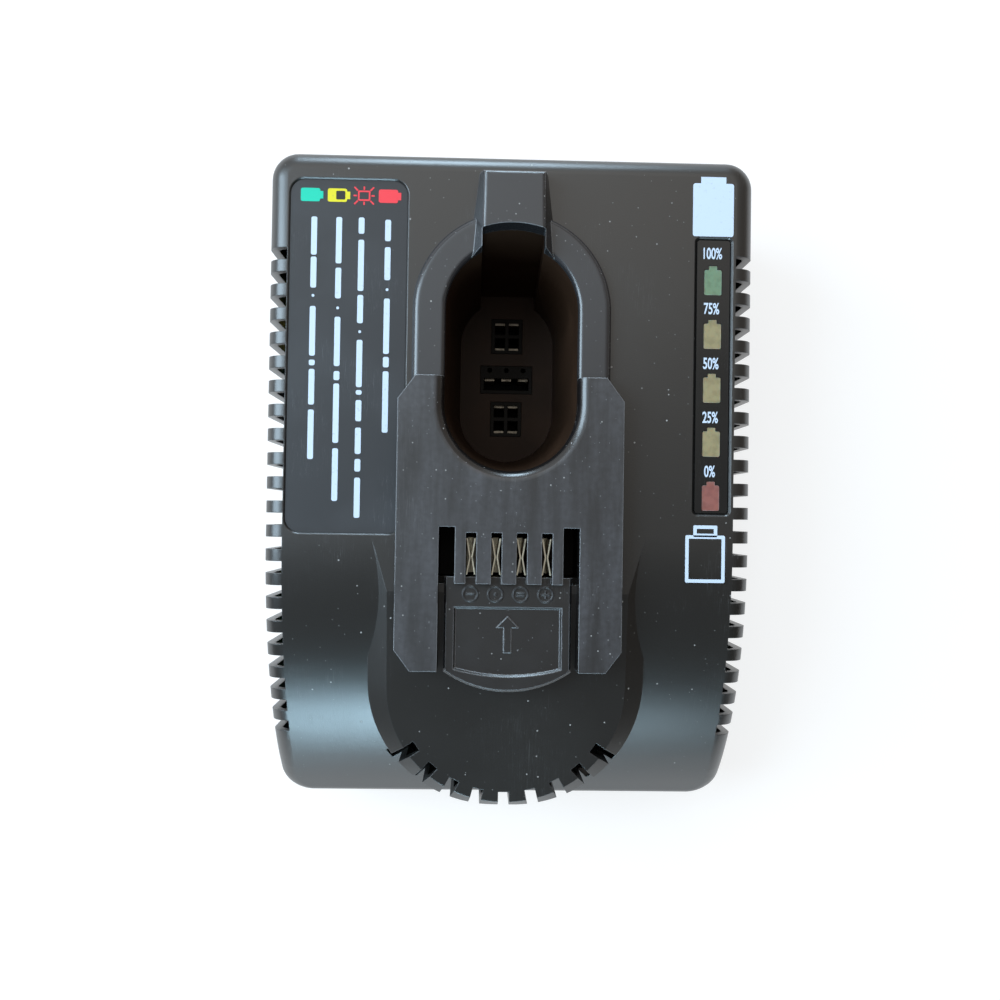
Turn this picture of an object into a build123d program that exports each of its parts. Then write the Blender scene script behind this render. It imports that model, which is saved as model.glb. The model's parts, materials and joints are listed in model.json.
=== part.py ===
from build123d import *
from math import atan2, cos, radians, sin, tan
import os

os.makedirs("parts", exist_ok=True)

# Power tool battery charger. Millimetres, +Z up. The origin is on the bench, under the middle of
# the housing. +Y is the back wall and -Y the rounded front, where a slide pack is pushed on.

# ---- Driving dimensions ------------------------------------------------------------------

# Housing
body_width = 142.0
body_length = 196.0
deck_height = 72.0  # top of the flat deck
shell_bottom = 1.5  # underside of the base shell, carried by the feet
split_height = 22.0  # joint between base shell and top shell
wall = 2.5
back_corner_radius = 8.0
front_corner_radius = 10.0
edge_radius = 5.5
seam_chamfer = 0.4
base_edge_radius = 1.4

# Front of the deck: it falls away in one curve to a low lip
deck_front_run = 84.0  # from the front of the housing to where the deck turns down
front_lip_height = 31.0
front_slope_angle = 48.5

# Tongue: the raised platform that runs forward from the deck under the rails
tongue_half_width = 35.0
tongue_nose_radius = 34.8
tongue_setback = 4.6  # of the platform's nose from the front of the housing
tongue_drop = 10.0  # of the platform's nose below the deck
tongue_run = 63.4  # from the nose to where the platform is level with the deck
tongue_foot_half_width = 40.8
tongue_foot_nose_radius = 38.0
tongue_foot_setback = 3.4
tongue_flank_drop = 3.0  # of the foot below the platform, square to it
tongue_back_y = 0.0

# Cooling slots
side_slot_pitch = 7.0
side_slot_width = 3.5
side_slot_back_inset = 30.5  # of the last slot's middle from the back of the housing
side_slot_front_inset = 25.5
side_slot_reach = 5.6  # how far in from the side wall the slots cut the deck edge
side_slot_lift = 4.0  # above the joint of the shells
tongue_slot_count = 9
tongue_slot_angle = 14.0
tongue_slot_width = 3.3
tongue_slot_reach = 3.5  # in from the platform's edge
tongue_slot_run = 7.6  # out from the platform's edge
tongue_slot_drop = 34.0  # of the slots' lower ends below the deck

# Battery dock: collar, hump, rail plate and rails in one moulding
plate_rise = 7.0  # of the rail plate above the deck
plate_half_width = 32.25
plate_back_y = 32.0
plate_front_y = -52.0
plate_lip = 2.5  # thickness of the rail lips
rail_groove_depth = 4.5
plate_back_chamfer_x = 5.0
plate_back_chamfer_y = 6.8
plate_front_chamfer_x = 4.5
plate_front_chamfer_y = 6.0
channel_half_width = 20.0
collar_rise = 3.0
collar_radius = 28.8
collar_edge_radius = 2.0
hump_rise = 9.0
hump_half_width = 8.75
hump_setback = 7.9  # from the back of the housing
hump_length = 23.4  # from its back edge to inside the mouth of the well
hump_back_flare = 1.2  # of its foot beyond its top
hump_front_flare = 4.2
hump_back_draft = 11.0
hump_edge_radius = 1.2
dock_edge_chamfer = 0.6

# Pad between the rails, with its recessed panel
pad_rise = 3.0
pad_half_width = 18.3
pad_side_front_y = -52.5
pad_front_y = -58.2
panel_half_width = 15.0
panel_back_y = -34.4
panel_side_front_y = -51.4
panel_front_y = -53.4
panel_depth = 0.7
panel_rim_chamfer = 0.5
polarity_y = -30.2
polarity_radius = 2.3
arrow_tip_y = -36.6
arrow_tail_y = -47.0
arrow_half_width = 3.2
arrow_stem_half_width = 1.1
mark_line = 0.4
mark_height = 0.3

# Slide terminals
terminal_count = 4
terminal_pitch = 7.2
terminal_slot_width = 3.0
comb_half_width = 15.4
comb_slot_back_y = -12.6
comb_front_y = -27.1
pocket_back_y = -11.0
pocket_front_y = -25.3
terminal_block_depth = 14.0  # below the deck
terminal_block_wall = 1.8
contact_thickness = 0.45
contact_gap = 0.1
contact_back_y = -14.2
contact_front_y = -24.6
contact_waist_y = -19.6
contact_rise = 4.2  # of the leaves above the deck
contact_depth = 10.0  # of their feet below the deck
contact_tail_width = 1.2
contact_tail_length = 2.0
contact_tail_reach = 2.0

# Pod well: the deep socket for a stem pack
well_radius = 19.15
well_front_arc_y = 24.2
well_back_arc_y = 51.8
well_floor_radius = 15.4
well_floor_front_arc_y = 25.9
well_floor_back_arc_y = 49.2
well_depth = 46.0  # below the deck
well_wall = 2.2
well_flange = 2.6
well_flange_thickness = 1.2
plate_rim_radius = 3.0
collar_rim_radius = 1.4
keyway_half_width = 9.0
keyway_back_y = 75.3
keyway_arc_rise = 1.5
keyway_floor_back_y = 66.0

# Pod terminals in the floor of the well
pod_front_terminal_y = 24.8
pod_middle_terminal_y = 38.0
pod_back_terminal_y = 52.6
pod_power_width = 10.4
pod_power_length = 11.7
pod_sense_width = 17.4
pod_sense_length = 9.4
pod_sense_shelf = 3.0
pod_sense_pitch = 5.6
pod_sense_hole_radius = 0.8
pod_cell_floor = 13.0
pod_rib = 1.2
pod_contact_width = 3.2
pod_contact_thickness = 0.8
pod_contact_sink = 1.0  # contact tips below the floor of the well
carrier_margin = 1.6

# Labels and indicator
label_side_inset = 6.2  # from the side of the housing
label_back_inset = 8.6
label_collar_gap = 2.0
label_front_gap = 0.6  # from where the deck turns down
label_corner = 4.2
label_thickness = 0.4
label_recess = 0.9
label_rim_chamfer = 0.4
strip_side_inset = 7.2
strip_back_inset = 24.0
strip_front_gap = 7.9
strip_width = 9.8
strip_corner = 0.8
strip_thickness = 0.8
strip_recess = 1.1
strip_rim_chamfer = 0.8
window_count = 5
window_side_inset = 5.0  # of the windows' middles from the edges of the strip
window_back_inset = 12.4
window_front_inset = 4.5
window_width = 5.1
window_length = 7.4
window_nub_width = 2.4
window_nub_length = 1.1
window_corner = 0.5
window_sink = 0.5
indicator_board_depth = 15.4  # below the deck
indicator_board_thickness = 1.6
indicator_board_width = 14.8
indicator_board_side_inset = 6.7
indicator_board_back_margin = 2.0  # beyond the strip
indicator_board_front_margin = 7.9
indicator_post_radius = 2.6
indicator_post_inset = 3.2  # from the ends of the board to the posts' axes
led_size = 3.2
led_height = 1.8
led_chamfer = 0.4
light_gap = 0.3

# Main board
board_bottom = 9.0
board_thickness = 1.6
board_side_inset = 10.0
board_front_inset = 32.0
board_back_inset = 22.0
board_screw_inset = 5.0

# Mains inlet, a two-pin figure-8 socket in the back wall
inlet_side_inset = 29.0
inlet_height = 13.0
inlet_width = 21.0
inlet_tall = 13.0
inlet_depth = 20.0
inlet_mouth_width = 16.8
inlet_mouth_tall = 9.2
inlet_mouth_depth = 14.5
inlet_shoulder = 1.5
inlet_pin_pitch = 8.6
inlet_pin_radius = 1.18
inlet_pin_setback = 1.5
inlet_pin_tail = 2.5
inlet_saddle_length = 10.0
inlet_saddle_setback = 2.0

# Fasteners and feet
post_radius = 4.5
post_back_inset_x = 13.0
post_back_inset_y = 14.0
post_front_inset_x = 16.0
post_front_inset_y = 20.0
screw_radius = 1.5
screw_head_radius = 3.2
screw_head_height = 2.4
screw_seat = 12.0
screw_length = 20.0
screw_cross_length = 3.2
screw_cross_width = 0.8
dock_screw_x = 25.0
dock_screw_front_y = -26.0
dock_screw_middle_y = -2.0
dock_screw_hump_inset = 6.1
dock_screw_length = 7.0
board_screw_length = 5.0
foot_radius = 7.0
foot_recess = 1.0
foot_inset_x = 18.0
foot_inset_y = 36.0
foot_chamfer = 0.6
standoff_radius = 3.5
rating_width = 62.0
rating_length = 40.0
rating_corner = 2.0
rating_thickness = 0.3

# Transformer: two ferrite E halves round a wound bobbin. Insets here and below are from the nearer
# side edge and from the back edge of the main board.
transformer_inset_x = 19.0
transformer_inset_y = 96.0
core_width = 34.0
core_depth = 12.0
core_tall = 30.0
core_leg = 10.0
core_yoke = 5.0
core_lift = 4.0
bobbin_wall = 0.5
bobbin_flange = 1.5
bobbin_rail = 6.5
bobbin_overhang = 0.5  # of the flanges beyond the winding
winding_thickness = 5.6
winding_gap = 0.2

# Other parts on the main board
bulk_inset_x = 19.0
bulk_inset_y = 55.0
bulk_radius = 11.0
bulk_tall = 36.0
can_rim_radius = 1.2
output_capacitor_inset_x = 21.0
output_capacitor_inset_y = 49.0
output_capacitor_pitch = 16.0
output_capacitor_radius = 6.5
output_capacitor_tall = 26.0
x_capacitor_inset_x = 8.0
x_capacitor_inset_y = 24.0
x_capacitor_size = (8.5, 18.0, 16.0)
bridge_inset_x = 25.0
bridge_inset_y = 34.0
bridge_size = (20.0, 4.0, 18.0)
bridge_pin_count = 4
pin_size = 0.9
pin_lift = 3.5
fuse_inset_x = 25.0
fuse_inset_y = 24.5
fuse_length = 20.0
fuse_radius = 2.6
fuse_cap_length = 5.0
fuse_lift = 4.4
choke_inset_x = 25.0
choke_inset_y = 14.5
choke_ring_radius = 7.6
choke_core_width = 5.0
choke_core_thickness = 6.0
choke_wire_radius = 0.6
choke_turns = 7
choke_turn_angle = 16.0
choke_base = 2.0
inductor_inset_x = 19.0
inductor_inset_y = 18.0
inductor_radius = 8.0
inductor_core_radius = 4.0
inductor_tall = 14.0
inductor_flange = 2.0
primary_sink_inset_y = 42.0
primary_sink_length = 38.0
output_sink_inset_y = 20.0
output_sink_length = 44.0
sink_inset_x = 2.8
sink_thickness = 2.4
sink_tall = 30.0
transistor_inset_y = 72.0
diode_inset_y = 36.0
package_width = 10.0
package_thickness = 4.6
package_tall = 15.0
package_pin_pitch = 2.54
controller_x = 22.0
controller_front_inset = 20.0  # from the front edge of the board
controller_size = 10.0
controller_tall = 1.4
controller_pin_count = 11
controller_pin_pitch = 0.8
optocoupler_x = -8.0
optocoupler_front_inset = 16.0
optocoupler_size = (6.5, 4.6, 3.6)
optocoupler_pitch = 10.0

# Wiring inside the housing
lead_radius = 0.9
slide_lead_bend = 5.0
slide_lead_landing_y = -32.0
mains_lead_bend = 1.3
mains_lead_landing_inset = 5.0
ribbon_y = 0.0
ribbon_width = 8.0
ribbon_thickness = 1.0
connector_size = (5.0, 11.0, 6.5)

# Fits
fit_gap = 0.3  # loose fit between mouldings
trim_gap = 0.1  # round labels, feet and the mains inlet
screw_gap = 0.05  # round a screw shank
screw_tip_gap = 0.5  # beyond the tip of a dock screw
cut_margin = 1.0  # how far a cut runs past the faces it opens

# ---- Worked-out sizes ----------------------------------------------------------------------

half_width = body_width / 2
half_length = body_length / 2
deck_under = deck_height - wall
base_floor = shell_bottom + wall
deck_front_y = deck_front_run - half_length
tongue_arc_y = tongue_setback + tongue_half_width - half_length
tongue_front_height = deck_height - tongue_drop
tongue_front_y = tongue_setback - half_length
tongue_level_y = tongue_front_y + tongue_run
tongue_foot_front_y = tongue_foot_setback - half_length
side_slot_row = body_length - side_slot_back_inset - side_slot_front_inset
side_slot_count = round(side_slot_row / side_slot_pitch) + 1
side_slot_middle_y = (side_slot_front_inset - side_slot_back_inset) / 2
side_slot_bottom = split_height + side_slot_lift
tongue_slot_bottom = deck_height - tongue_slot_drop
plate_top = deck_height + plate_rise
collar_top = deck_height + collar_rise
hump_top = deck_height + hump_rise
hump_back_y = half_length - hump_setback
pad_top = deck_height + pad_rise
terminal_block_bottom = deck_height - terminal_block_depth
contact_top = deck_height + contact_rise
contact_base = deck_height - contact_depth
well_floor = deck_height - well_depth
label_left = label_side_inset - half_width
label_right = -collar_radius - label_collar_gap
label_front_y = deck_front_y + label_front_gap
label_back_y = half_length - label_back_inset
strip_right = half_width - strip_side_inset
strip_left = strip_right - strip_width
strip_front_y = deck_front_y + strip_front_gap
strip_back_y = half_length - strip_back_inset
window_x = strip_right - window_side_inset
window_first_y = strip_back_y - window_back_inset
window_pitch = (window_first_y - strip_front_y - window_front_inset) / (window_count - 1)
indicator_board_top = deck_height - indicator_board_depth
indicator_board_right = half_width - indicator_board_side_inset
indicator_board_left = indicator_board_right - indicator_board_width
indicator_board_front_y = strip_front_y - indicator_board_front_margin
indicator_board_back_y = strip_back_y + indicator_board_back_margin
board_top = board_bottom + board_thickness
board_half_width = half_width - board_side_inset
board_front_y = board_front_inset - half_length
board_back_y = half_length - board_back_inset
inlet_x = inlet_side_inset - half_width
transformer_x = transformer_inset_x - board_half_width
transformer_y = board_back_y - transformer_inset_y
bulk_x = bulk_inset_x - board_half_width
bulk_y = board_back_y - bulk_inset_y
output_capacitor_x = board_half_width - output_capacitor_inset_x
output_capacitor_y = board_back_y - output_capacitor_inset_y
x_capacitor_x = x_capacitor_inset_x - board_half_width
x_capacitor_y = board_back_y - x_capacitor_inset_y
bridge_x = bridge_inset_x - board_half_width
bridge_y = board_back_y - bridge_inset_y
fuse_x = fuse_inset_x - board_half_width
fuse_y = board_back_y - fuse_inset_y
choke_x = choke_inset_x - board_half_width
choke_y = board_back_y - choke_inset_y
inductor_x = board_half_width - inductor_inset_x
inductor_y = board_back_y - inductor_inset_y
sink_x = board_half_width - sink_inset_x
primary_sink_back_y = board_back_y - primary_sink_inset_y
output_sink_back_y = board_back_y - output_sink_inset_y
transistor_y = board_back_y - transistor_inset_y
diode_y = board_back_y - diode_inset_y
controller_y = board_front_y + controller_front_inset
optocoupler_y = board_front_y + optocoupler_front_inset
mains_lead_landing_y = board_back_y - mains_lead_landing_inset
slope_run = (deck_height - front_lip_height) / tan(radians(front_slope_angle))
slope_crossing_y = slope_run - half_length
slope_curve_radius = (deck_front_y - slope_crossing_y) / tan(radians(front_slope_angle / 2))
tongue_tilt = atan2(deck_height - tongue_front_height, tongue_level_y - tongue_front_y)
lip_under = plate_top - plate_lip
web_half_width = plate_half_width - rail_groove_depth
hump_front_y = hump_back_y - hump_length
hump_foot_back_y = hump_back_y + (hump_top - deck_height) * tan(radians(hump_back_draft))
flange_top = deck_height + well_flange_thickness
well_outer_radius = well_radius + well_wall
well_floor_under = well_floor - well_wall
block_half_width = channel_half_width + terminal_block_wall
block_back_y = pocket_back_y + terminal_block_wall
block_front_y = pocket_front_y - terminal_block_wall
contact_half_width = terminal_slot_width / 2 - contact_gap
inlet_body_front_y = half_length - inlet_depth
pod_cell_width = (pod_power_width - 3 * pod_rib) / 2
pod_cell_length = (pod_power_length - 3 * pod_rib) / 2
pod_cell_x = (pod_cell_width + pod_rib) / 2
pod_cell_y = (pod_cell_length + pod_rib) / 2
pod_blade_pitch = 2 * pod_cell_y + pod_cell_length - pod_contact_thickness
slide_contact_x = [(i - (terminal_count - 1) / 2) * terminal_pitch for i in range(terminal_count)]
latch_pocket_x = (comb_half_width + channel_half_width) / 2
latch_pocket_y = (pocket_back_y + pocket_front_y) / 2
latch_pocket_places = [(-latch_pocket_x, latch_pocket_y), (latch_pocket_x, latch_pocket_y)]
window_places = [(window_x, window_first_y - i * window_pitch) for i in range(window_count)]
guide_bottom = indicator_board_top + led_height + light_gap
guide_top = deck_height - window_sink
indicator_board_x = (indicator_board_left + indicator_board_right) / 2
indicator_board_y = (indicator_board_front_y + indicator_board_back_y) / 2
indicator_post_places = [
    (indicator_board_x, indicator_board_back_y - indicator_post_inset),
    (indicator_board_x, indicator_board_front_y + indicator_post_inset),
]
post_places = [
    (post_back_inset_x - half_width, half_length - post_back_inset_y),
    (half_width - post_back_inset_x, half_length - post_back_inset_y),
    (post_front_inset_x - half_width, post_front_inset_y - half_length),
    (half_width - post_front_inset_x, post_front_inset_y - half_length),
]
dock_screw_places = [
    (-dock_screw_x, dock_screw_front_y),
    (dock_screw_x, dock_screw_front_y),
    (-dock_screw_x, dock_screw_middle_y),
    (dock_screw_x, dock_screw_middle_y),
    (0, hump_back_y - dock_screw_hump_inset),
]
board_screw_places = [
    (side * (board_half_width - board_screw_inset), y)
    for side in (-1, 1)
    for y in (board_front_y + board_screw_inset, board_back_y - board_screw_inset)
]
foot_places = [
    (side_x * (half_width - foot_inset_x), side_y * (half_length - foot_inset_y))
    for side_x in (-1, 1)
    for side_y in (-1, 1)
]


# ---- Shared shapes -------------------------------------------------------------------------


def slot_outline(radius, front_y, back_y):
    """A stadium along Y in the current sketch, given by its two arc centres."""
    with Locations((0, (front_y + back_y) / 2)):
        SlotCenterToCenter(back_y - front_y, 2 * radius, rotation=90)


def nose_outline(half_width, radius, front_y, back_y):
    """The tongue's outline in the current sketch, its front corners rounded into one nose."""
    with BuildSketch(mode=Mode.PRIVATE) as nose:
        with Locations((0, front_y)):
            Rectangle(2 * half_width, back_y - front_y, align=(Align.CENTER, Align.MIN))
        fillet(nose.vertices().group_by(Axis.Y)[0], radius)
    add(nose.sketch_local)


def edges_within(part, height, left, right, front, back):
    """The edges of a part that lie at one height, inside a box seen from above."""
    slack = trim_gap / 10

    def inside(edge):
        box = edge.bounding_box()
        across = left - slack < box.min.X and box.max.X < right + slack
        return across and front - slack < box.min.Y and box.max.Y < back + slack

    return part.edges().filter_by_position(Axis.Z, height, height).filter_by(inside)


def cell_outline(clearance=0.0, mode=Mode.ADD):
    """A small upright battery pictogram: a box with a nub at its back end."""
    RectangleRounded(
        window_width + 2 * clearance, window_length + 2 * clearance, window_corner + clearance, mode=mode
    )
    with Locations((0, window_length / 2)):
        Rectangle(window_nub_width + 2 * clearance, 2 * (window_nub_length + clearance), mode=mode)


def strip_outline(clearance=0.0):
    """The indicator strip's outline, smaller by a clearance all round."""
    with Locations(((strip_left + strip_right) / 2, (strip_front_y + strip_back_y) / 2)):
        RectangleRounded(
            strip_right - strip_left - 2 * clearance,
            strip_back_y - strip_front_y - 2 * clearance,
            strip_corner,
        )


def label_outline(clearance=0.0):
    """The legend label's outline, smaller by a clearance all round."""
    with Locations(((label_left + label_right) / 2, (label_front_y + label_back_y) / 2)):
        RectangleRounded(
            label_right - label_left - 2 * clearance,
            label_back_y - label_front_y - 2 * clearance,
            label_corner,
        )


def keyway_outline(margin, back_y):
    """The keyway behind the well, as a rectangle from the middle of the well's back arc."""
    with Locations((0, well_back_arc_y)):
        Rectangle(
            2 * (keyway_half_width + margin),
            back_y + margin - well_back_arc_y,
            align=(Align.CENTER, Align.MIN),
        )


def housing_form(inset):
    """The closed outer form of the whole housing, pulled in by inset all round."""
    with BuildPart() as form:
        with BuildSketch(Plane.XY.offset(shell_bottom + inset)) as plan:
            Rectangle(body_width - 2 * inset, body_length - 2 * inset)
            fillet(plan.vertices().group_by(Axis.Y)[-1], back_corner_radius - inset)
            fillet(plan.vertices().group_by(Axis.Y)[0], front_corner_radius - inset)
        extrude(amount=deck_height - shell_bottom - 2 * inset)
        with BuildSketch(Plane.YZ) as side:
            with BuildLine():
                Polyline(
                    (half_length, shell_bottom),
                    (half_length, deck_height),
                    (slope_crossing_y, deck_height),
                    (-half_length, front_lip_height),
                    (-half_length, shell_bottom),
                    close=True,
                )
            make_face()
            fillet(
                side.vertices().sort_by_distance((slope_crossing_y, deck_height))[0],
                slope_curve_radius,
            )
            if inset:
                offset(amount=-inset, kind=Kind.INTERSECTION, mode=Mode.REPLACE)
        extrude(amount=half_width, both=True, mode=Mode.INTERSECT)

        def on_the_rim(edge):
            # The rim's edges lie above the lip, are not upright, and run across only at the two ends
            box = edge.bounding_box()
            upright = box.size.X + box.size.Y < wall / 10
            if box.min.Z < front_lip_height - inset - wall / 10 or upright:
                return False
            across = box.size.X > body_width / 2
            return not across or abs(box.center().Y) > half_length - inset - wall / 10

        fillet(form.edges().filter_by(on_the_rim), edge_radius - inset)
        drop = (tongue_level_y - tongue_arc_y) * tan(tongue_tilt)
        platform = Plane(
            origin=(0, tongue_arc_y, deck_height - inset - drop),
            x_dir=(1, 0, 0),
            z_dir=(0, -sin(tongue_tilt), cos(tongue_tilt)),
        )
        foot = platform.offset(-tongue_flank_drop)
        with BuildSketch(platform):
            nose_outline(
                tongue_half_width - inset,
                tongue_nose_radius - inset,
                inset - tongue_half_width,
                (tongue_back_y - platform.origin.Y) / cos(tongue_tilt),
            )
        with BuildSketch(foot) as foot_outline:
            nose_outline(
                tongue_foot_half_width - inset,
                tongue_foot_nose_radius - inset,
                (tongue_foot_front_y + inset - foot.origin.Y) / cos(tongue_tilt),
                (tongue_back_y - foot.origin.Y) / cos(tongue_tilt),
            )
        loft()
        # Under the flank the foot goes straight down, into the housing
        extrude(foot_outline.sketch, amount=tongue_front_height - split_height, dir=(0, 0, -1))
        split(bisect_by=Plane.XY.offset(deck_height - inset), keep=Keep.BOTTOM)
    return form.part


outer_form = housing_form(0)
inner_form = housing_form(wall)

# ---- Top shell -----------------------------------------------------------------------------

with BuildPart() as top_shell:
    add(outer_form)
    add(inner_form, mode=Mode.SUBTRACT)
    split(bisect_by=Plane.XY.offset(split_height), keep=Keep.TOP)
    # Screw bosses, from the joint up to the inside of the deck
    with BuildSketch(Plane.XY.offset(split_height)):
        with Locations(post_places):
            Circle(post_radius)
    extrude(amount=deck_height - split_height)
    # Posts that carry the indicator board
    with BuildSketch(Plane.XY.offset(indicator_board_top)):
        with Locations(indicator_post_places):
            Circle(indicator_post_radius)
    extrude(amount=deck_under - indicator_board_top)
    add(outer_form, mode=Mode.INTERSECT)
    with BuildSketch(Plane.XY.offset(split_height)):
        with Locations(post_places):
            Circle(screw_radius + screw_gap)
    extrude(amount=screw_seat + screw_length - split_height + screw_tip_gap, mode=Mode.SUBTRACT)
    with BuildSketch(Plane.XY.offset(indicator_board_top)):
        with Locations(indicator_post_places):
            Circle(screw_radius + screw_gap)
    extrude(amount=board_screw_length, mode=Mode.SUBTRACT)
    # Cooling slots through both side walls and the deck edge
    with BuildSketch(Plane.XY.offset(side_slot_bottom)):
        for side in (-1, 1):
            with Locations((side * (half_width - side_slot_reach / 2), side_slot_middle_y)):
                with GridLocations(1, side_slot_pitch, 1, side_slot_count):
                    Rectangle(side_slot_reach, side_slot_width)
    extrude(amount=deck_height - side_slot_bottom, mode=Mode.SUBTRACT)
    # Cooling slots round the nose of the tongue
    with BuildSketch(Plane.XY.offset(tongue_slot_bottom)):
        with Locations((0, tongue_arc_y)):
            with PolarLocations(
                tongue_half_width + (tongue_slot_run - tongue_slot_reach) / 2,
                tongue_slot_count,
                start_angle=-90 - tongue_slot_angle * (tongue_slot_count - 1) / 2,
                angular_range=tongue_slot_angle * (tongue_slot_count - 1),
                endpoint=True,
            ):
                Rectangle(tongue_slot_reach + tongue_slot_run, tongue_slot_width)
    extrude(amount=deck_height - tongue_slot_bottom, mode=Mode.SUBTRACT)
    # Deck openings for the pod well with its keyway, and for the slide terminal block
    with BuildSketch(Plane.XY.offset(deck_under - cut_margin)):
        slot_outline(well_outer_radius + fit_gap, well_front_arc_y, well_back_arc_y)
        keyway_outline(well_wall + fit_gap, keyway_back_y)
        with Locations((0, (block_back_y + block_front_y) / 2)):
            Rectangle(2 * (block_half_width + fit_gap), block_back_y - block_front_y + 2 * fit_gap)
    extrude(amount=wall + 2 * cut_margin, mode=Mode.SUBTRACT)
    with BuildSketch(Plane.XY.offset(deck_under - cut_margin)):
        with Locations(dock_screw_places):
            Circle(screw_radius + screw_gap)
    extrude(amount=wall + 2 * cut_margin, mode=Mode.SUBTRACT)
    # Light guide holes and the recesses of the indicator strip and the legend label
    with BuildSketch(Plane.XY.offset(deck_under - cut_margin)):
        with Locations(window_places):
            cell_outline(fit_gap / 2)
    extrude(amount=wall + 2 * cut_margin, mode=Mode.SUBTRACT)
    with BuildSketch(Plane.XY.offset(deck_height - strip_recess)):
        strip_outline()
    extrude(amount=strip_recess, mode=Mode.SUBTRACT)
    with BuildSketch(Plane.XY.offset(deck_height - label_recess)):
        label_outline()
    extrude(amount=label_recess, mode=Mode.SUBTRACT)
    chamfer(
        edges_within(top_shell, deck_height, strip_left, strip_right, strip_front_y, strip_back_y),
        strip_rim_chamfer,
    )
    chamfer(
        edges_within(top_shell, deck_height, label_left, label_right, label_front_y, label_back_y),
        label_rim_chamfer,
    )
    seam = top_shell.faces().group_by(Axis.Z)[0].sort_by(SortBy.AREA)[-1]
    chamfer(seam.outer_wire().edges(), seam_chamfer)
top_shell.part.label = "top_shell"
export_step(top_shell.part, "parts/top_shell.step")

# ---- Base shell ----------------------------------------------------------------------------

inlet_face = Plane(origin=(inlet_x, half_length, inlet_height), x_dir=(1, 0, 0), z_dir=(0, 1, 0))

with BuildPart() as base_shell:
    add(outer_form)
    add(inner_form, mode=Mode.SUBTRACT)
    split(bisect_by=Plane.XY.offset(split_height), keep=Keep.BOTTOM)
    seam = base_shell.faces().group_by(Axis.Z)[-1].sort_by(SortBy.AREA)[-1]
    chamfer(seam.outer_wire().edges(), seam_chamfer)
    fillet(base_shell.faces().sort_by(Axis.Z)[0].outer_wire().edges(), base_edge_radius)
    # Screw posts up to the joint, and standoffs for the main board
    with BuildSketch(Plane.XY.offset(base_floor)):
        with Locations(post_places):
            Circle(post_radius)
    extrude(amount=split_height - base_floor)
    with BuildSketch(Plane.XY.offset(base_floor)):
        with Locations(board_screw_places):
            Circle(standoff_radius)
    extrude(amount=board_bottom - base_floor)
    # Saddle under the mains inlet
    with BuildSketch(Plane.XY.offset(base_floor)):
        with Locations((inlet_x, inlet_body_front_y + inlet_saddle_setback)):
            Rectangle(inlet_width, inlet_saddle_length, align=(Align.CENTER, Align.MIN))
    extrude(amount=inlet_height - inlet_tall / 2 - base_floor)
    with Locations([(x, y, shell_bottom) for x, y in post_places]):
        Hole(screw_radius + screw_gap, split_height)
    with BuildSketch(Plane.XY.offset(shell_bottom)):
        with Locations(post_places):
            Circle(screw_head_radius + fit_gap)
    extrude(amount=screw_seat - shell_bottom, mode=Mode.SUBTRACT)
    with BuildSketch(Plane.XY.offset(board_bottom)):
        with Locations(board_screw_places):
            Circle(screw_radius + screw_gap)
    extrude(amount=board_thickness - board_screw_length, mode=Mode.SUBTRACT)
    with BuildSketch(inlet_face):
        Rectangle(inlet_width + 2 * trim_gap, inlet_tall + 2 * trim_gap)
    extrude(amount=-wall, mode=Mode.SUBTRACT)
    # Recesses for the feet and the rating label
    with BuildSketch(Plane.XY.offset(shell_bottom)):
        with Locations(foot_places):
            Circle(foot_radius + trim_gap)
    extrude(amount=foot_recess, mode=Mode.SUBTRACT)
    with BuildSketch(Plane.XY.offset(shell_bottom)):
        RectangleRounded(rating_width + 2 * trim_gap, rating_length + 2 * trim_gap, rating_corner)
    extrude(amount=rating_thickness, mode=Mode.SUBTRACT)
base_shell.part.label = "base_shell"
export_step(base_shell.part, "parts/base_shell.step")

with BuildPart() as rubber_feet:
    with BuildSketch():
        with Locations(foot_places):
            Circle(foot_radius)
    extrude(amount=shell_bottom + foot_recess)
    chamfer(rubber_feet.faces().group_by(Axis.Z)[0].edges(), foot_chamfer)
rubber_feet.part.label = "rubber_feet"
export_step(rubber_feet.part, "parts/rubber_feet.step")

with BuildPart() as rating_label:
    with BuildSketch(Plane.XY.offset(shell_bottom)):
        RectangleRounded(rating_width, rating_length, rating_corner)
    extrude(amount=rating_thickness)
rating_label.part.label = "rating_label"
export_step(rating_label.part, "parts/rating_label.step")

# ---- Battery dock --------------------------------------------------------------------------

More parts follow.
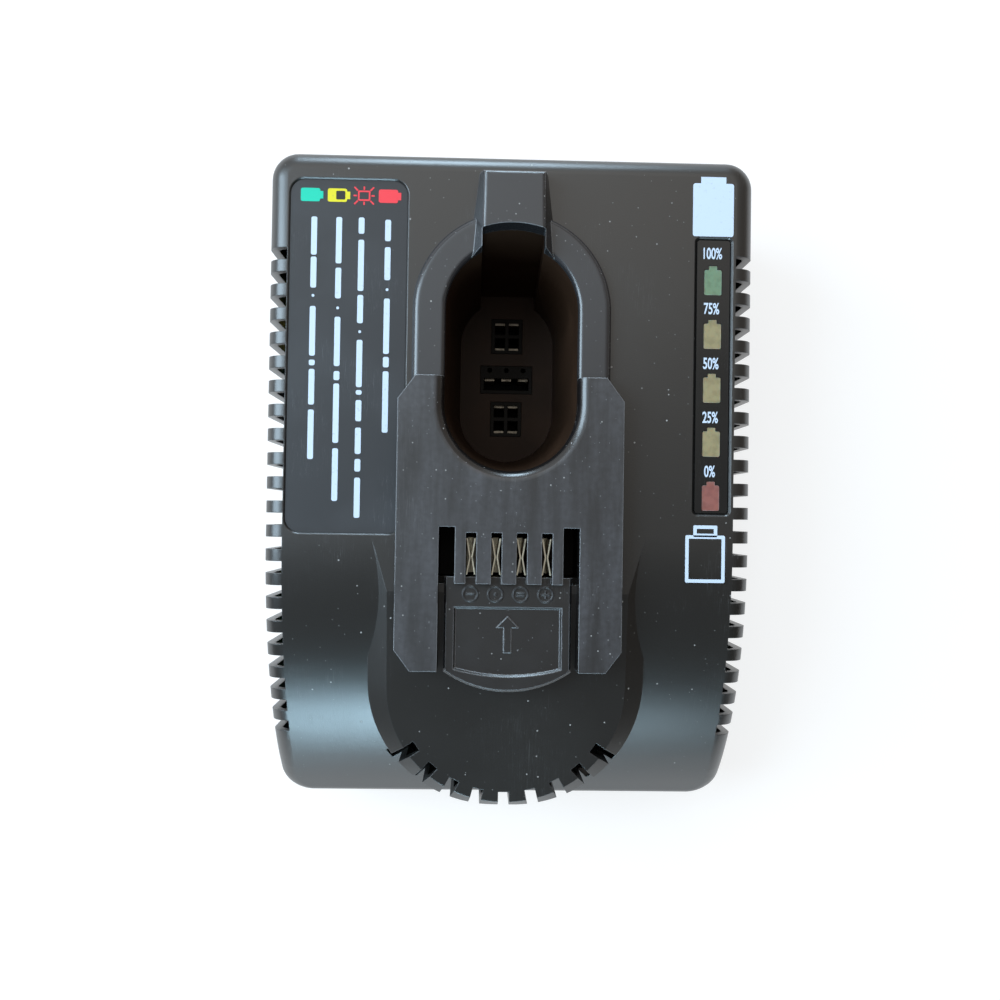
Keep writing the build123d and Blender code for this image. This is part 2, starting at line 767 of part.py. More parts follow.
with BuildPart() as battery_dock:
    # Collar round the back of the well, with its own narrow rim chamfer
    with BuildSketch(Plane.XY.offset(deck_height)):
        slot_outline(collar_radius, plate_back_y, well_back_arc_y)
    extrude(amount=collar_top - deck_height)
    fillet(battery_dock.faces().sort_by(Axis.Z)[-1].edges(), collar_edge_radius)
    with BuildSketch(Plane.XY.offset(deck_height)):
        slot_outline(well_radius, plate_back_y, well_back_arc_y)
    extrude(amount=collar_top - deck_height, mode=Mode.SUBTRACT)
    fillet(battery_dock.faces().sort_by(Axis.Z)[-1].inner_wires()[0].edges(), collar_rim_radius)
    # Hump: a block behind the well, its flanks flaring out towards the well
    with BuildSketch(Plane.XY.offset(deck_height)):
        Polygon(
            (-hump_half_width - hump_front_flare, hump_front_y),
            (hump_half_width + hump_front_flare, hump_front_y),
            (hump_half_width + hump_back_flare, hump_foot_back_y),
            (-hump_half_width - hump_back_flare, hump_foot_back_y),
            align=None,
        )
    with BuildSketch(Plane.XY.offset(hump_top)):
        Polygon(
            (-hump_half_width, hump_front_y),
            (hump_half_width, hump_front_y),
            (hump_half_width, hump_back_y),
            (-hump_half_width, hump_back_y),
            align=None,
        )
    loft()
    fillet(battery_dock.faces().sort_by(Axis.Z)[-1].edges(), hump_edge_radius)
    # Web that carries the plate, and the plate with its rail lips
    with BuildSketch(Plane.XY.offset(tongue_front_height)):
        with Locations((0, plate_front_y)):
            Rectangle(2 * web_half_width, plate_back_y - plate_front_y, align=(Align.CENTER, Align.MIN))
    extrude(amount=lip_under - tongue_front_height)
    with BuildSketch(Plane.XY.offset(lip_under)):
        with BuildLine():
            Polyline(
                (0, plate_front_y),
                (plate_half_width - plate_front_chamfer_x, plate_front_y),
                (plate_half_width, plate_front_y + plate_front_chamfer_y),
                (plate_half_width, plate_back_y - plate_back_chamfer_y),
                (plate_half_width - plate_back_chamfer_x, plate_back_y),
                (0, plate_back_y),
                close=True,
            )
        make_face()
        mirror(about=Plane.YZ)
    extrude(amount=plate_lip)
    # Channel between the rails, open at the front
    with BuildSketch(Plane.XY.offset(tongue_front_height)):
        with Locations((0, pocket_front_y)):
            Rectangle(
                2 * channel_half_width,
                pocket_front_y - plate_front_y + cut_margin,
                align=(Align.CENTER, Align.MAX),
            )
    extrude(amount=plate_top - tongue_front_height, mode=Mode.SUBTRACT)
    # Pad on the channel floor, with a curved front lip
    with BuildSketch(Plane.XY.offset(tongue_front_height)):
        with BuildLine():
            Polyline(
                (pad_half_width, pad_side_front_y),
                (pad_half_width, pocket_front_y),
                (-pad_half_width, pocket_front_y),
                (-pad_half_width, pad_side_front_y),
            )
            ThreePointArc(
                (-pad_half_width, pad_side_front_y),
                (0, pad_front_y),
                (pad_half_width, pad_side_front_y),
            )
        make_face()
    extrude(amount=pad_top - tongue_front_height)
    chamfer(
        battery_dock.edges().filter_by_position(Axis.Z, pad_top, pad_top).filter_by_position(
            Axis.Y, pad_front_y, pocket_front_y - dock_edge_chamfer
        ),
        dock_edge_chamfer,
    )
    with BuildSketch(Plane.XY.offset(pad_top)):
        with BuildLine():
            Polyline(
                (panel_half_width, panel_side_front_y),
                (panel_half_width, panel_back_y),
                (-panel_half_width, panel_back_y),
                (-panel_half_width, panel_side_front_y),
            )
            ThreePointArc(
                (-panel_half_width, panel_side_front_y),
                (0, panel_front_y),
                (panel_half_width, panel_side_front_y),
            )
        make_face()
    extrude(amount=-panel_depth, mode=Mode.SUBTRACT)
    chamfer(
        edges_within(
            battery_dock, pad_top, -panel_half_width, panel_half_width, panel_front_y, panel_back_y
        ),
        panel_rim_chamfer,
    )
    # Raised marks: an arrow in the panel, and a polarity sign in a ring before each contact
    with BuildSketch(Plane.XY.offset(pad_top - panel_depth)):
        Polygon(
            (0, arrow_tip_y),
            (-arrow_half_width, arrow_tip_y - arrow_half_width),
            (-arrow_stem_half_width, arrow_tip_y - arrow_half_width),
            (-arrow_stem_half_width, arrow_tail_y),
            (arrow_stem_half_width, arrow_tail_y),
            (arrow_stem_half_width, arrow_tip_y - arrow_half_width),
            (arrow_half_width, arrow_tip_y - arrow_half_width),
            align=None,
        )
    extrude(amount=mark_height)
    with BuildSketch(Plane.XY.offset(pad_top)):
        with Locations((0, polarity_y)):
            with GridLocations(terminal_pitch, 1, terminal_count, 1):
                Circle(polarity_radius)
                Circle(polarity_radius - mark_line, mode=Mode.SUBTRACT)
        with Locations((slide_contact_x[0], polarity_y), (slide_contact_x[-1], polarity_y)):
            Rectangle(polarity_radius, mark_line)
        with Locations((slide_contact_x[-1], polarity_y)):
            Rectangle(mark_line, polarity_radius)
        with Locations((slide_contact_x[1], polarity_y)):
            Circle(mark_line)
        with Locations((slide_contact_x[-2], polarity_y)):
            with GridLocations(1, 2 * mark_line, 1, 2):
                Rectangle(polarity_radius, mark_line)
    extrude(amount=mark_height)
    # Comb over the slide contacts, then its slots and the two latch pockets
    with BuildSketch(Plane.XY.offset(deck_height)):
        with Locations((0, comb_front_y)):
            Rectangle(2 * comb_half_width, comb_slot_back_y - comb_front_y, align=(Align.CENTER, Align.MIN))
    extrude(amount=plate_top - deck_height)
    with BuildSketch(Plane.XY.offset(pad_top)):
        with Locations((0, (comb_slot_back_y + comb_front_y) / 2)):
            with GridLocations(terminal_pitch, 1, terminal_count, 1):
                Rectangle(terminal_slot_width, comb_slot_back_y - comb_front_y)
    extrude(amount=plate_top - pad_top, mode=Mode.SUBTRACT)
    with BuildSketch(Plane.XY.offset(tongue_front_height)):
        with Locations((0, (comb_slot_back_y + pocket_front_y) / 2)):
            with GridLocations(terminal_pitch, 1, terminal_count, 1):
                Rectangle(terminal_slot_width, comb_slot_back_y - pocket_front_y)
        with Locations(latch_pocket_places):
            Rectangle(channel_half_width - comb_half_width, pocket_back_y - pocket_front_y)
    extrude(amount=plate_top - tongue_front_height, mode=Mode.SUBTRACT)
    # Mouth of the well: straight bore, wide round rim in the plate, keyway up to the hump
    with BuildSketch(Plane.XY.offset(tongue_front_height)):
        slot_outline(well_radius, well_front_arc_y, well_back_arc_y)
    extrude(amount=hump_top - tongue_front_height, mode=Mode.SUBTRACT)
    fillet(
        edges_within(
            battery_dock,
            plate_top,
            -well_radius,
            well_radius,
            well_front_arc_y - well_radius,
            plate_back_y,
        ),
        plate_rim_radius,
    )
    with BuildSketch(Plane.XY.offset(tongue_front_height)):
        with BuildLine():
            Polyline(
                (keyway_half_width, keyway_back_y - keyway_arc_rise),
                (keyway_half_width, well_back_arc_y),
                (-keyway_half_width, well_back_arc_y),
                (-keyway_half_width, keyway_back_y - keyway_arc_rise),
            )
            ThreePointArc(
                (-keyway_half_width, keyway_back_y - keyway_arc_rise),
                (0, keyway_back_y),
                (keyway_half_width, keyway_back_y - keyway_arc_rise),
            )
        make_face()
    extrude(amount=hump_top - tongue_front_height, mode=Mode.SUBTRACT)
    # Underside: follows the deck and the tongue, with a recess for the well's flange
    add(outer_form, mode=Mode.SUBTRACT)
    with BuildSketch(Plane.XY.offset(deck_height)):
        slot_outline(well_outer_radius + well_flange + fit_gap, well_front_arc_y, well_back_arc_y)
    extrude(amount=well_flange_thickness, mode=Mode.SUBTRACT)
    with BuildSketch(Plane.XY.offset(deck_under)):
        with Locations(dock_screw_places):
            Circle(screw_radius + screw_gap)
    extrude(amount=dock_screw_length + screw_tip_gap, mode=Mode.SUBTRACT)
battery_dock.part.label = "battery_dock"
export_step(battery_dock.part, "parts/battery_dock.step")

# ---- Pod well ------------------------------------------------------------------------------

pod_power_places = [(0, pod_front_terminal_y), (0, pod_back_terminal_y)]
pod_power_cells = [(side_x * pod_cell_x, side_y * pod_cell_y) for side_x in (-1, 1) for side_y in (-1, 1)]
pod_cell_places = [(x, y + cell_y) for x, cell_y in pod_power_cells for _, y in pod_power_places]

with BuildPart() as pod_well:
    # Tapered cup, wall outside and cavity inside, with the keyway up its back
    with BuildSketch(Plane.XY.offset(well_floor_under)):
        slot_outline(well_floor_radius + well_wall, well_floor_front_arc_y, well_floor_back_arc_y)
    with BuildSketch(Plane.XY.offset(flange_top)):
        slot_outline(well_outer_radius, well_front_arc_y, well_back_arc_y)
    loft()
    with BuildSketch(Plane.XY.offset(well_floor_under)):
        keyway_outline(well_wall, keyway_floor_back_y)
    with BuildSketch(Plane.XY.offset(deck_height)):
        keyway_outline(well_wall, keyway_back_y)
    loft()
    with BuildSketch(Plane.XY.offset(deck_height)):
        slot_outline(well_outer_radius + well_flange, well_front_arc_y, well_back_arc_y)
    extrude(amount=well_flange_thickness)
    with BuildSketch(Plane.XY.offset(well_floor)):
        slot_outline(well_floor_radius, well_floor_front_arc_y, well_floor_back_arc_y)
    with BuildSketch(Plane.XY.offset(flange_top)):
        slot_outline(well_radius, well_front_arc_y, well_back_arc_y)
    loft(mode=Mode.SUBTRACT)
    with BuildSketch(Plane.XY.offset(well_floor)):
        keyway_outline(0, keyway_floor_back_y)
    with BuildSketch(Plane.XY.offset(flange_top)):
        keyway_outline(0, keyway_back_y)
    loft(mode=Mode.SUBTRACT)
    # Openings in the floor for the pod terminals
    with BuildSketch(Plane.XY.offset(well_floor_under)):
        with Locations(pod_power_places):
            Rectangle(pod_power_width, pod_power_length)
        with Locations((0, pod_middle_terminal_y)):
            Rectangle(pod_sense_width, pod_sense_length)
    extrude(amount=well_wall, mode=Mode.SUBTRACT)
pod_well.part.label = "pod_well"
export_step(pod_well.part, "parts/pod_well.step")

with BuildPart() as pod_terminal_carrier:
    with BuildSketch(Plane.XY.offset(board_top)):
        with Locations((0, (pod_front_terminal_y + pod_back_terminal_y) / 2)):
            Rectangle(
                pod_sense_width + 2 * carrier_margin,
                pod_back_terminal_y - pod_front_terminal_y + pod_power_length + 2 * carrier_margin,
            )
    extrude(amount=well_floor_under - board_top)
    # Plugs that fill the floor openings, cut into contact cells
    with BuildSketch(Plane.XY.offset(well_floor_under)):
        with Locations(pod_power_places):
            Rectangle(pod_power_width - 2 * trim_gap, pod_power_length - 2 * trim_gap)
        with Locations((0, pod_middle_terminal_y)):
            Rectangle(pod_sense_width - 2 * trim_gap, pod_sense_length - 2 * trim_gap)
    extrude(amount=well_wall)
    with BuildSketch(Plane.XY.offset(pod_cell_floor)):
        with Locations(pod_cell_places):
            Rectangle(pod_cell_width, pod_cell_length)
        with Locations((0, pod_middle_terminal_y - pod_sense_shelf / 2)):
            Rectangle(pod_sense_width - 2 * pod_rib, pod_sense_length - pod_sense_shelf - 2 * pod_rib)
    extrude(amount=well_floor - pod_cell_floor, mode=Mode.SUBTRACT)
    with BuildSketch(Plane.XY.offset(pod_cell_floor)):
        with Locations((0, pod_middle_terminal_y + (pod_sense_length - pod_sense_shelf) / 2)):
            with GridLocations(pod_sense_pitch, 1, 3, 1):
                Circle(pod_sense_hole_radius)
    extrude(amount=well_floor - pod_cell_floor, mode=Mode.SUBTRACT)
pod_terminal_carrier.part.label = "pod_terminal_carrier"
export_step(pod_terminal_carrier.part, "parts/pod_terminal_carrier.step")


def pod_blades(terminal_y):
    """Four upright contact blades, one against the outer wall of each cell of a terminal."""
    with BuildPart() as blades:
        with BuildSketch(Plane.XY.offset(pod_cell_floor)):
            with Locations((0, terminal_y)):
                with GridLocations(2 * pod_cell_x, pod_blade_pitch, 2, 2):
                    Rectangle(pod_contact_width, pod_contact_thickness)
        extrude(amount=well_floor - pod_contact_sink - pod_cell_floor)
    return blades.part


with BuildPart() as pod_front_contacts:
    add(pod_blades(pod_front_terminal_y))
pod_front_contacts.part.label = "pod_front_contacts"
export_step(pod_front_contacts.part, "parts/pod_front_contacts.step")

with BuildPart() as pod_back_contacts:
    add(pod_blades(pod_back_terminal_y))
pod_back_contacts.part.label = "pod_back_contacts"
export_step(pod_back_contacts.part, "parts/pod_back_contacts.step")

with BuildPart() as pod_sense_contacts:
    sense_cell_back_y = pod_middle_terminal_y + pod_sense_length / 2 - pod_sense_shelf - pod_rib
    with BuildSketch(Plane.XY.offset(pod_cell_floor)):
        with Locations((0, sense_cell_back_y - pod_contact_thickness / 2)):
            with GridLocations(pod_sense_pitch, 1, 3, 1):
                Rectangle(pod_contact_width, pod_contact_thickness)
    extrude(amount=well_floor - pod_contact_sink - pod_cell_floor)
pod_sense_contacts.part.label = "pod_sense_contacts"
export_step(pod_sense_contacts.part, "parts/pod_sense_contacts.step")

# ---- Slide terminals -----------------------------------------------------------------------

with BuildPart() as slide_terminal_block:
    with BuildSketch(Plane.XY.offset(terminal_block_bottom)):
        with Locations((0, (block_back_y + block_front_y) / 2)):
            Rectangle(2 * block_half_width, block_back_y - block_front_y)
    extrude(amount=deck_height - terminal_block_bottom)
    with BuildSketch(Plane.XY.offset(contact_base)):
        with Locations((0, (comb_slot_back_y + pocket_front_y) / 2)):
            with GridLocations(terminal_pitch, 1, terminal_count, 1):
                Rectangle(terminal_slot_width, comb_slot_back_y - pocket_front_y)
    extrude(amount=deck_height - contact_base, mode=Mode.SUBTRACT)
    with BuildSketch(Plane.XY.offset(terminal_block_bottom + terminal_block_wall)):
        with Locations(latch_pocket_places):
            Rectangle(channel_half_width - comb_half_width, pocket_back_y - pocket_front_y)
    extrude(amount=deck_height - terminal_block_bottom, mode=Mode.SUBTRACT)
    with BuildSketch(Plane.XY.offset(terminal_block_bottom)):
        with Locations((0, contact_waist_y)):
            with GridLocations(terminal_pitch, 1, terminal_count, 1):
                Rectangle(contact_tail_width + 2 * screw_gap, contact_tail_length + 2 * screw_gap)
    extrude(amount=contact_base - terminal_block_bottom, mode=Mode.SUBTRACT)
slide_terminal_block.part.label = "slide_terminal_block"
export_step(slide_terminal_block.part, "parts/slide_terminal_block.step")

with BuildPart() as slide_contacts:
    # Each clip: a foot, a tail through the block, and two bowed leaves that nearly meet
    with BuildSketch(Plane.XY.offset(contact_base)):
        with Locations((0, (contact_back_y + contact_front_y) / 2)):
            with GridLocations(terminal_pitch, 1, terminal_count, 1):
                Rectangle(2 * contact_half_width, contact_back_y - contact_front_y)
    extrude(amount=contact_thickness)
    with BuildSketch(Plane.XY.offset(terminal_block_bottom - contact_tail_reach)):
        with Locations((0, contact_waist_y)):
            with GridLocations(terminal_pitch, 1, terminal_count, 1):
                Rectangle(contact_tail_width, contact_tail_length)
    extrude(amount=contact_base - terminal_block_bottom + contact_tail_reach)
    with BuildSketch(Plane.XY.offset(contact_base)):
        with GridLocations(terminal_pitch, 1, terminal_count, 1):
            for side in (-1, 1):
                Polygon(
                    (side * (contact_half_width - contact_thickness), contact_back_y),
                    (side * contact_gap / 2, contact_waist_y),
                    (side * (contact_half_width - contact_thickness), contact_front_y),
                    (side * contact_half_width, contact_front_y),
                    (side * (contact_gap / 2 + contact_thickness), contact_waist_y),
                    (side * contact_half_width, contact_back_y),
                    align=None,
                )
    extrude(amount=contact_top - contact_base)
slide_contacts.part.label = "slide_contacts"
export_step(slide_contacts.part, "parts/slide_contacts.step")

# ---- Labels and indicator ------------------------------------------------------------------

with BuildPart() as legend_label:
    with BuildSketch(Plane.XY.offset(deck_height - label_recess)):
        label_outline(trim_gap)
    extrude(amount=label_thickness)
legend_label.part.label = "legend_label"
export_step(legend_label.part, "parts/legend_label.step")

with BuildPart() as indicator_strip:
    with BuildSketch(Plane.XY.offset(deck_height - strip_recess)):
        strip_outline(trim_gap)
        with Locations(window_places):
            cell_outline(trim_gap, Mode.SUBTRACT)
    extrude(amount=strip_thickness)
indicator_strip.part.label = "indicator_strip"
export_step(indicator_strip.part, "parts/indicator_strip.step")


def light_guides(places):
    """Battery-shaped light guides, from just above the lamps to just under the strip's face."""
    with BuildPart() as guides:
        with BuildSketch(Plane.XY.offset(guide_bottom)):
            with Locations(places):
                cell_outline()
        extrude(amount=guide_top - guide_bottom)
    return guides.part


with BuildPart() as light_guide_green:
    add(light_guides(window_places[:1]))
light_guide_green.part.label = "light_guide_green"
export_step(light_guide_green.part, "parts/light_guide_green.step")

with BuildPart() as light_guides_amber:
    add(light_guides(window_places[1:-1]))
light_guides_amber.part.label = "light_guides_amber"
export_step(light_guides_amber.part, "parts/light_guides_amber.step")

with BuildPart() as light_guide_red:
    add(light_guides(window_places[-1:]))
light_guide_red.part.label = "light_guide_red"
export_step(light_guide_red.part, "parts/light_guide_red.step")

with BuildPart() as indicator_board:
    with BuildSketch(Plane.XY.offset(indicator_board_top - indicator_board_thickness)):
        with Locations((indicator_board_x, indicator_board_y)):
            Rectangle(
                indicator_board_right - indicator_board_left,
                indicator_board_back_y - indicator_board_front_y,
            )
        with Locations(indicator_post_places):
            Circle(screw_radius + screw_gap, mode=Mode.SUBTRACT)
    extrude(amount=indicator_board_thickness)
indicator_board.part.label = "indicator_board"
export_step(indicator_board.part, "parts/indicator_board.step")

with BuildPart() as indicator_lamps:
    with BuildSketch(Plane.XY.offset(indicator_board_top)):
        with Locations(window_places):
            Rectangle(led_size, led_size)
    extrude(amount=led_height)
    chamfer(indicator_lamps.faces().group_by(Axis.Z)[-1].edges(), led_chamfer)
indicator_lamps.part.label = "indicator_lamps"
export_step(indicator_lamps.part, "parts/indicator_lamps.step")

# ---- Main board and what it carries --------------------------------------------------------

with BuildPart() as main_board:
    with BuildSketch(Plane.XY.offset(board_bottom)):
        with Locations((0, (board_front_y + board_back_y) / 2)):
            Rectangle(2 * board_half_width, board_back_y - board_front_y)
        with Locations(board_screw_places):
            Circle(screw_radius + screw_gap, mode=Mode.SUBTRACT)
    extrude(amount=board_thickness)
main_board.part.label = "main_board"
export_step(main_board.part, "parts/main_board.step")

core_bottom = board_top + core_lift
core_window_width = (core_width - core_leg) / 2 - core_yoke
core_window_tall = core_tall - 2 * core_yoke
spool_bottom = core_bottom + core_yoke
transformer_place = (transformer_x, transformer_y)

with BuildPart() as transformer_core:
    with BuildSketch(Plane.XZ.offset(-transformer_y - core_depth / 2)):
        with Locations((transformer_x, core_bottom + core_tall / 2)):
            Rectangle(core_width, core_tall)
            with GridLocations(core_leg + core_window_width, 1, 2, 1):
                Rectangle(core_window_width, core_window_tall, mode=Mode.SUBTRACT)
    extrude(amount=core_depth)
transformer_core.part.label = "transformer_core"
export_step(transformer_core.part, "parts/transformer_core.step")

leg_width = core_leg + 2 * winding_gap
leg_depth = core_depth + 2 * winding_gap
spool_width = leg_width + 2 * bobbin_wall
spool_depth = leg_depth + 2 * bobbin_wall
flange_width = core_leg + 2 * (core_window_width - winding_gap)
flange_depth = spool_depth + 2 * (winding_thickness + bobbin_overhang)

with BuildPart() as transformer_bobbin:
    with BuildSketch(Plane.XY.offset(spool_bottom)):
        with Locations(transformer_place):
            Rectangle(spool_width, spool_depth)
    extrude(amount=core_window_tall)
    for flange_bottom in (spool_bottom, spool_bottom + core_window_tall - bobbin_flange):
        with BuildSketch(Plane.XY.offset(flange_bottom)):
            with Locations(transformer_place):
                Rectangle(flange_width, flange_depth)
        extrude(amount=bobbin_flange)
    # Rails either side of the core carry the transformer on the board
    with BuildSketch(Plane.XY.offset(board_top)):
        with Locations(transformer_place):
            with GridLocations(1, flange_depth - bobbin_rail, 1, 2):
                Rectangle(flange_width, bobbin_rail)
    extrude(amount=spool_bottom - board_top)
    with BuildSketch(Plane.XY.offset(board_top)):
        with Locations(transformer_place):
            Rectangle(leg_width, leg_depth)
    extrude(amount=core_tall + core_lift, mode=Mode.SUBTRACT)
transformer_bobbin.part.label = "transformer_bobbin"
export_step(transformer_bobbin.part, "parts/transformer_bobbin.step")

with BuildPart() as transformer_winding:
    with BuildSketch(Plane.XY.offset(spool_bottom + bobbin_flange)):
        with Locations(transformer_place):
            RectangleRounded(
                spool_width + 2 * winding_thickness,
                spool_depth + 2 * winding_thickness,
                winding_thickness / 2,
            )
            Rectangle(spool_width, spool_depth, mode=Mode.SUBTRACT)
    extrude(amount=core_window_tall - 2 * bobbin_flange)
transformer_winding.part.label = "transformer_winding"
export_step(transformer_winding.part, "parts/transformer_winding.step")

with BuildPart() as bulk_capacitor:
    with BuildSketch(Plane.XY.offset(board_top)):
        with Locations((bulk_x, bulk_y)):
            Circle(bulk_radius)
    extrude(amount=bulk_tall)
    fillet(bulk_capacitor.edges().sort_by(Axis.Z)[-1], can_rim_radius)
bulk_capacitor.part.label = "bulk_capacitor"
export_step(bulk_capacitor.part, "parts/bulk_capacitor.step")

with BuildPart() as output_capacitors:
    with BuildSketch(Plane.XY.offset(board_top)):
        with Locations((output_capacitor_x, output_capacitor_y)):
            with GridLocations(1, output_capacitor_pitch, 1, 2):
                Circle(output_capacitor_radius)
    extrude(amount=output_capacitor_tall)
    fillet(output_capacitors.faces().group_by(Axis.Z)[-1].edges(), can_rim_radius)
output_capacitors.part.label = "output_capacitors"
export_step(output_capacitors.part, "parts/output_capacitors.step")

with BuildPart() as x_capacitor:
    with BuildSketch(Plane.XY.offset(board_top)):
        with Locations((x_capacitor_x, x_capacitor_y)):
            Rectangle(x_capacitor_size[0], x_capacitor_size[1])
    extrude(amount=x_capacitor_size[2])
    fillet(x_capacitor.faces().sort_by(Axis.Z)[-1].edges(), can_rim_radius)
x_capacitor.part.label = "x_capacitor"
export_step(x_capacitor.part, "parts/x_capacitor.step")

with BuildPart() as bridge_rectifier:
    with BuildSketch(Plane.XY.offset(board_top + pin_lift)):
        with Locations((bridge_x, bridge_y)):
            Rectangle(bridge_size[0], bridge_size[1])
    extrude(amount=bridge_size[2])
    with BuildSketch(Plane.XY.offset(board_top)):
        with Locations((bridge_x, bridge_y)):
            with GridLocations(bridge_size[0] / bridge_pin_count, 1, bridge_pin_count, 1):
                Rectangle(pin_size, pin_size)
    extrude(amount=pin_lift)
bridge_rectifier.part.label = "bridge_rectifier"
export_step(bridge_rectifier.part, "parts/bridge_rectifier.step")

with BuildPart() as mains_fuse:
    fuse_plane = Plane.YZ.offset(fuse_x - fuse_length / 2)
    with BuildSketch(fuse_plane):
        with Locations((fuse_y, board_top + fuse_lift)):
            Circle(fuse_radius)
    extrude(amount=fuse_length)
mains_fuse.part.label = "mains_fuse"
export_step(mains_fuse.part, "parts/mains_fuse.step")

with BuildPart() as fuse_clips:
    with BuildSketch(Plane.XY.offset(board_top)):
        with Locations((fuse_x, fuse_y)):
            with GridLocations(fuse_length - fuse_cap_length, 1, 2, 1):
                Rectangle(fuse_cap_length, 2 * fuse_radius + 2 * pin_size)
    extrude(amount=fuse_lift)
    with BuildSketch(fuse_plane):
        with Locations((fuse_y, board_top + fuse_lift)):
            Circle(fuse_radius + screw_gap)
    extrude(amount=fuse_length, mode=Mode.SUBTRACT)
fuse_clips.part.label = "fuse_clips"
export_step(fuse_clips.part, "parts/fuse_clips.step")

choke_inner = choke_ring_radius - choke_core_width / 2
choke_outer = choke_ring_radius + choke_core_width / 2
choke_height = board_top + choke_base + choke_outer
choke_plane = Plane(origin=(choke_x, choke_y, choke_height), x_dir=(1, 0, 0), z_dir=(0, 1, 0))

with BuildPart() as choke_core:
    with BuildSketch(choke_plane):
        Circle(choke_outer)
        Circle(choke_inner, mode=Mode.SUBTRACT)
    extrude(amount=choke_core_thickness / 2, both=True)
choke_core.part.label = "choke_core"
export_step(choke_core.part, "parts/choke_core.step")

with BuildPart() as choke_windings:
    # Square-section turns that hug the ring, in two separate halves
    for half_middle in (0, 180):
        for turn in range(choke_turns):
            swing = radians(half_middle + (turn - (choke_turns - 1) / 2) * choke_turn_angle)
            turn_plane = Plane(
                origin=choke_plane.origin,
                x_dir=(cos(swing), 0, sin(swing)),
                z_dir=(-sin(swing), 0, cos(swing)),
            )
            with BuildSketch(turn_plane):
                with Locations((choke_ring_radius, 0)):
                    Rectangle(
                        choke_core_width + 4 * choke_wire_radius + 2 * screw_gap,
                        choke_core_thickness + 4 * choke_wire_radius + 2 * screw_gap,
                    )
                    Rectangle(
                        choke_core_width + 2 * screw_gap,
                        choke_core_thickness + 2 * screw_gap,
                        mode=Mode.SUBTRACT,
                    )
            extrude(amount=choke_wire_radius, both=True)
choke_windings.part.label = "choke_windings"
export_step(choke_windings.part, "parts/choke_windings.step")

with BuildPart() as choke_stand:
    with BuildSketch(Plane.XY.offset(board_top)):
        with Locations((choke_x, choke_y)):
            Rectangle(2 * choke_inner, choke_core_thickness)
    extrude(amount=choke_base)
choke_stand.part.label = "choke_stand"
export_step(choke_stand.part, "parts/choke_stand.step")

with BuildPart() as inductor_core:
    for level in (board_top, board_top + inductor_tall - inductor_flange):
        with BuildSketch(Plane.XY.offset(level)):
            with Locations((inductor_x, inductor_y)):
                Circle(inductor_radius)
        extrude(amount=inductor_flange)
    with BuildSketch(Plane.XY.offset(board_top)):
        with Locations((inductor_x, inductor_y)):
            Circle(inductor_core_radius)
    extrude(amount=inductor_tall)
inductor_core.part.label = "inductor_core"
export_step(inductor_core.part, "parts/inductor_core.step")

with BuildPart() as inductor_winding:
    with BuildSketch(Plane.XY.offset(board_top + inductor_flange)):
        with Locations((inductor_x, inductor_y)):
            Circle(inductor_radius - pin_size)
            Circle(inductor_core_radius + screw_gap, mode=Mode.SUBTRACT)
    extrude(amount=inductor_tall - 2 * inductor_flange)
inductor_winding.part.label = "inductor_winding"
export_step(inductor_winding.part, "parts/inductor_winding.step")


def heat_sink(x, back_y, length):
    """An upright aluminium plate on the board."""
    with BuildPart() as sink:
        with BuildSketch(Plane.XY.offset(board_top)):
            with Locations((x, back_y - length / 2)):
                Rectangle(sink_thickness, length)
        extrude(amount=sink_tall)
    return sink.part


def power_package(y, face_x, side):
    """A flat three-pin power package, its tab against a heat sink face."""
    with BuildPart() as package:
        with BuildSketch(Plane.XY.offset(board_top + pin_lift)):
            with Locations((face_x + side * package_thickness / 2, y)):
                Rectangle(package_thickness, package_width)
        extrude(amount=package_tall)
        with BuildSketch(Plane.XY.offset(board_top)):
            with Locations((face_x + side * package_thickness / 2, y)):
                with GridLocations(1, package_pin_pitch, 1, 3):
                    Rectangle(pin_size, pin_size)
        extrude(amount=pin_lift)
    return package.part


with BuildPart() as primary_heat_sink:
    add(heat_sink(-sink_x, primary_sink_back_y, primary_sink_length))
primary_heat_sink.part.label = "primary_heat_sink"
export_step(primary_heat_sink.part, "parts/primary_heat_sink.step")

with BuildPart() as output_heat_sink:
    add(heat_sink(sink_x, output_sink_back_y, output_sink_length))
output_heat_sink.part.label = "output_heat_sink"
export_step(output_heat_sink.part, "parts/output_heat_sink.step")

with BuildPart() as power_transistor:
    add(power_package(transistor_y, sink_thickness / 2 - sink_x, 1))
power_transistor.part.label = "power_transistor"
export_step(power_transistor.part, "parts/power_transistor.step")

with BuildPart() as output_diode:
    add(power_package(diode_y, sink_x - sink_thickness / 2, -1))
output_diode.part.label = "output_diode"
export_step(output_diode.part, "parts/output_diode.step")

with BuildPart() as controller_chip:
    with BuildSketch(Plane.XY.offset(board_top)):
        with Locations((controller_x, controller_y)):
            Rectangle(controller_size, controller_size)
    extrude(amount=controller_tall)
    with BuildSketch(Plane.XY.offset(board_top)):
        with Locations((controller_x, controller_y)):
            with GridLocations(1, controller_pin_pitch, 1, controller_pin_count):
                Rectangle(controller_size + 2 * pin_size, controller_pin_pitch / 2)
            with GridLocations(controller_pin_pitch, 1, controller_pin_count, 1):
                Rectangle(controller_pin_pitch / 2, controller_size + 2 * pin_size)
    extrude(amount=controller_tall / 2)
controller_chip.part.label = "controller_chip"
export_step(controller_chip.part, "parts/controller_chip.step")

with BuildPart() as optocouplers:
    with BuildSketch(Plane.XY.offset(board_top)):
        with Locations((optocoupler_x, optocoupler_y)):
            with GridLocations(optocoupler_pitch, 1, 2, 1):
                Rectangle(optocoupler_size[0], optocoupler_size[1])
    extrude(amount=optocoupler_size[2])
optocouplers.part.label = "optocouplers"
export_step(optocouplers.part, "parts/optocouplers.step")

# ---- Mains inlet ---------------------------------------------------------------------------

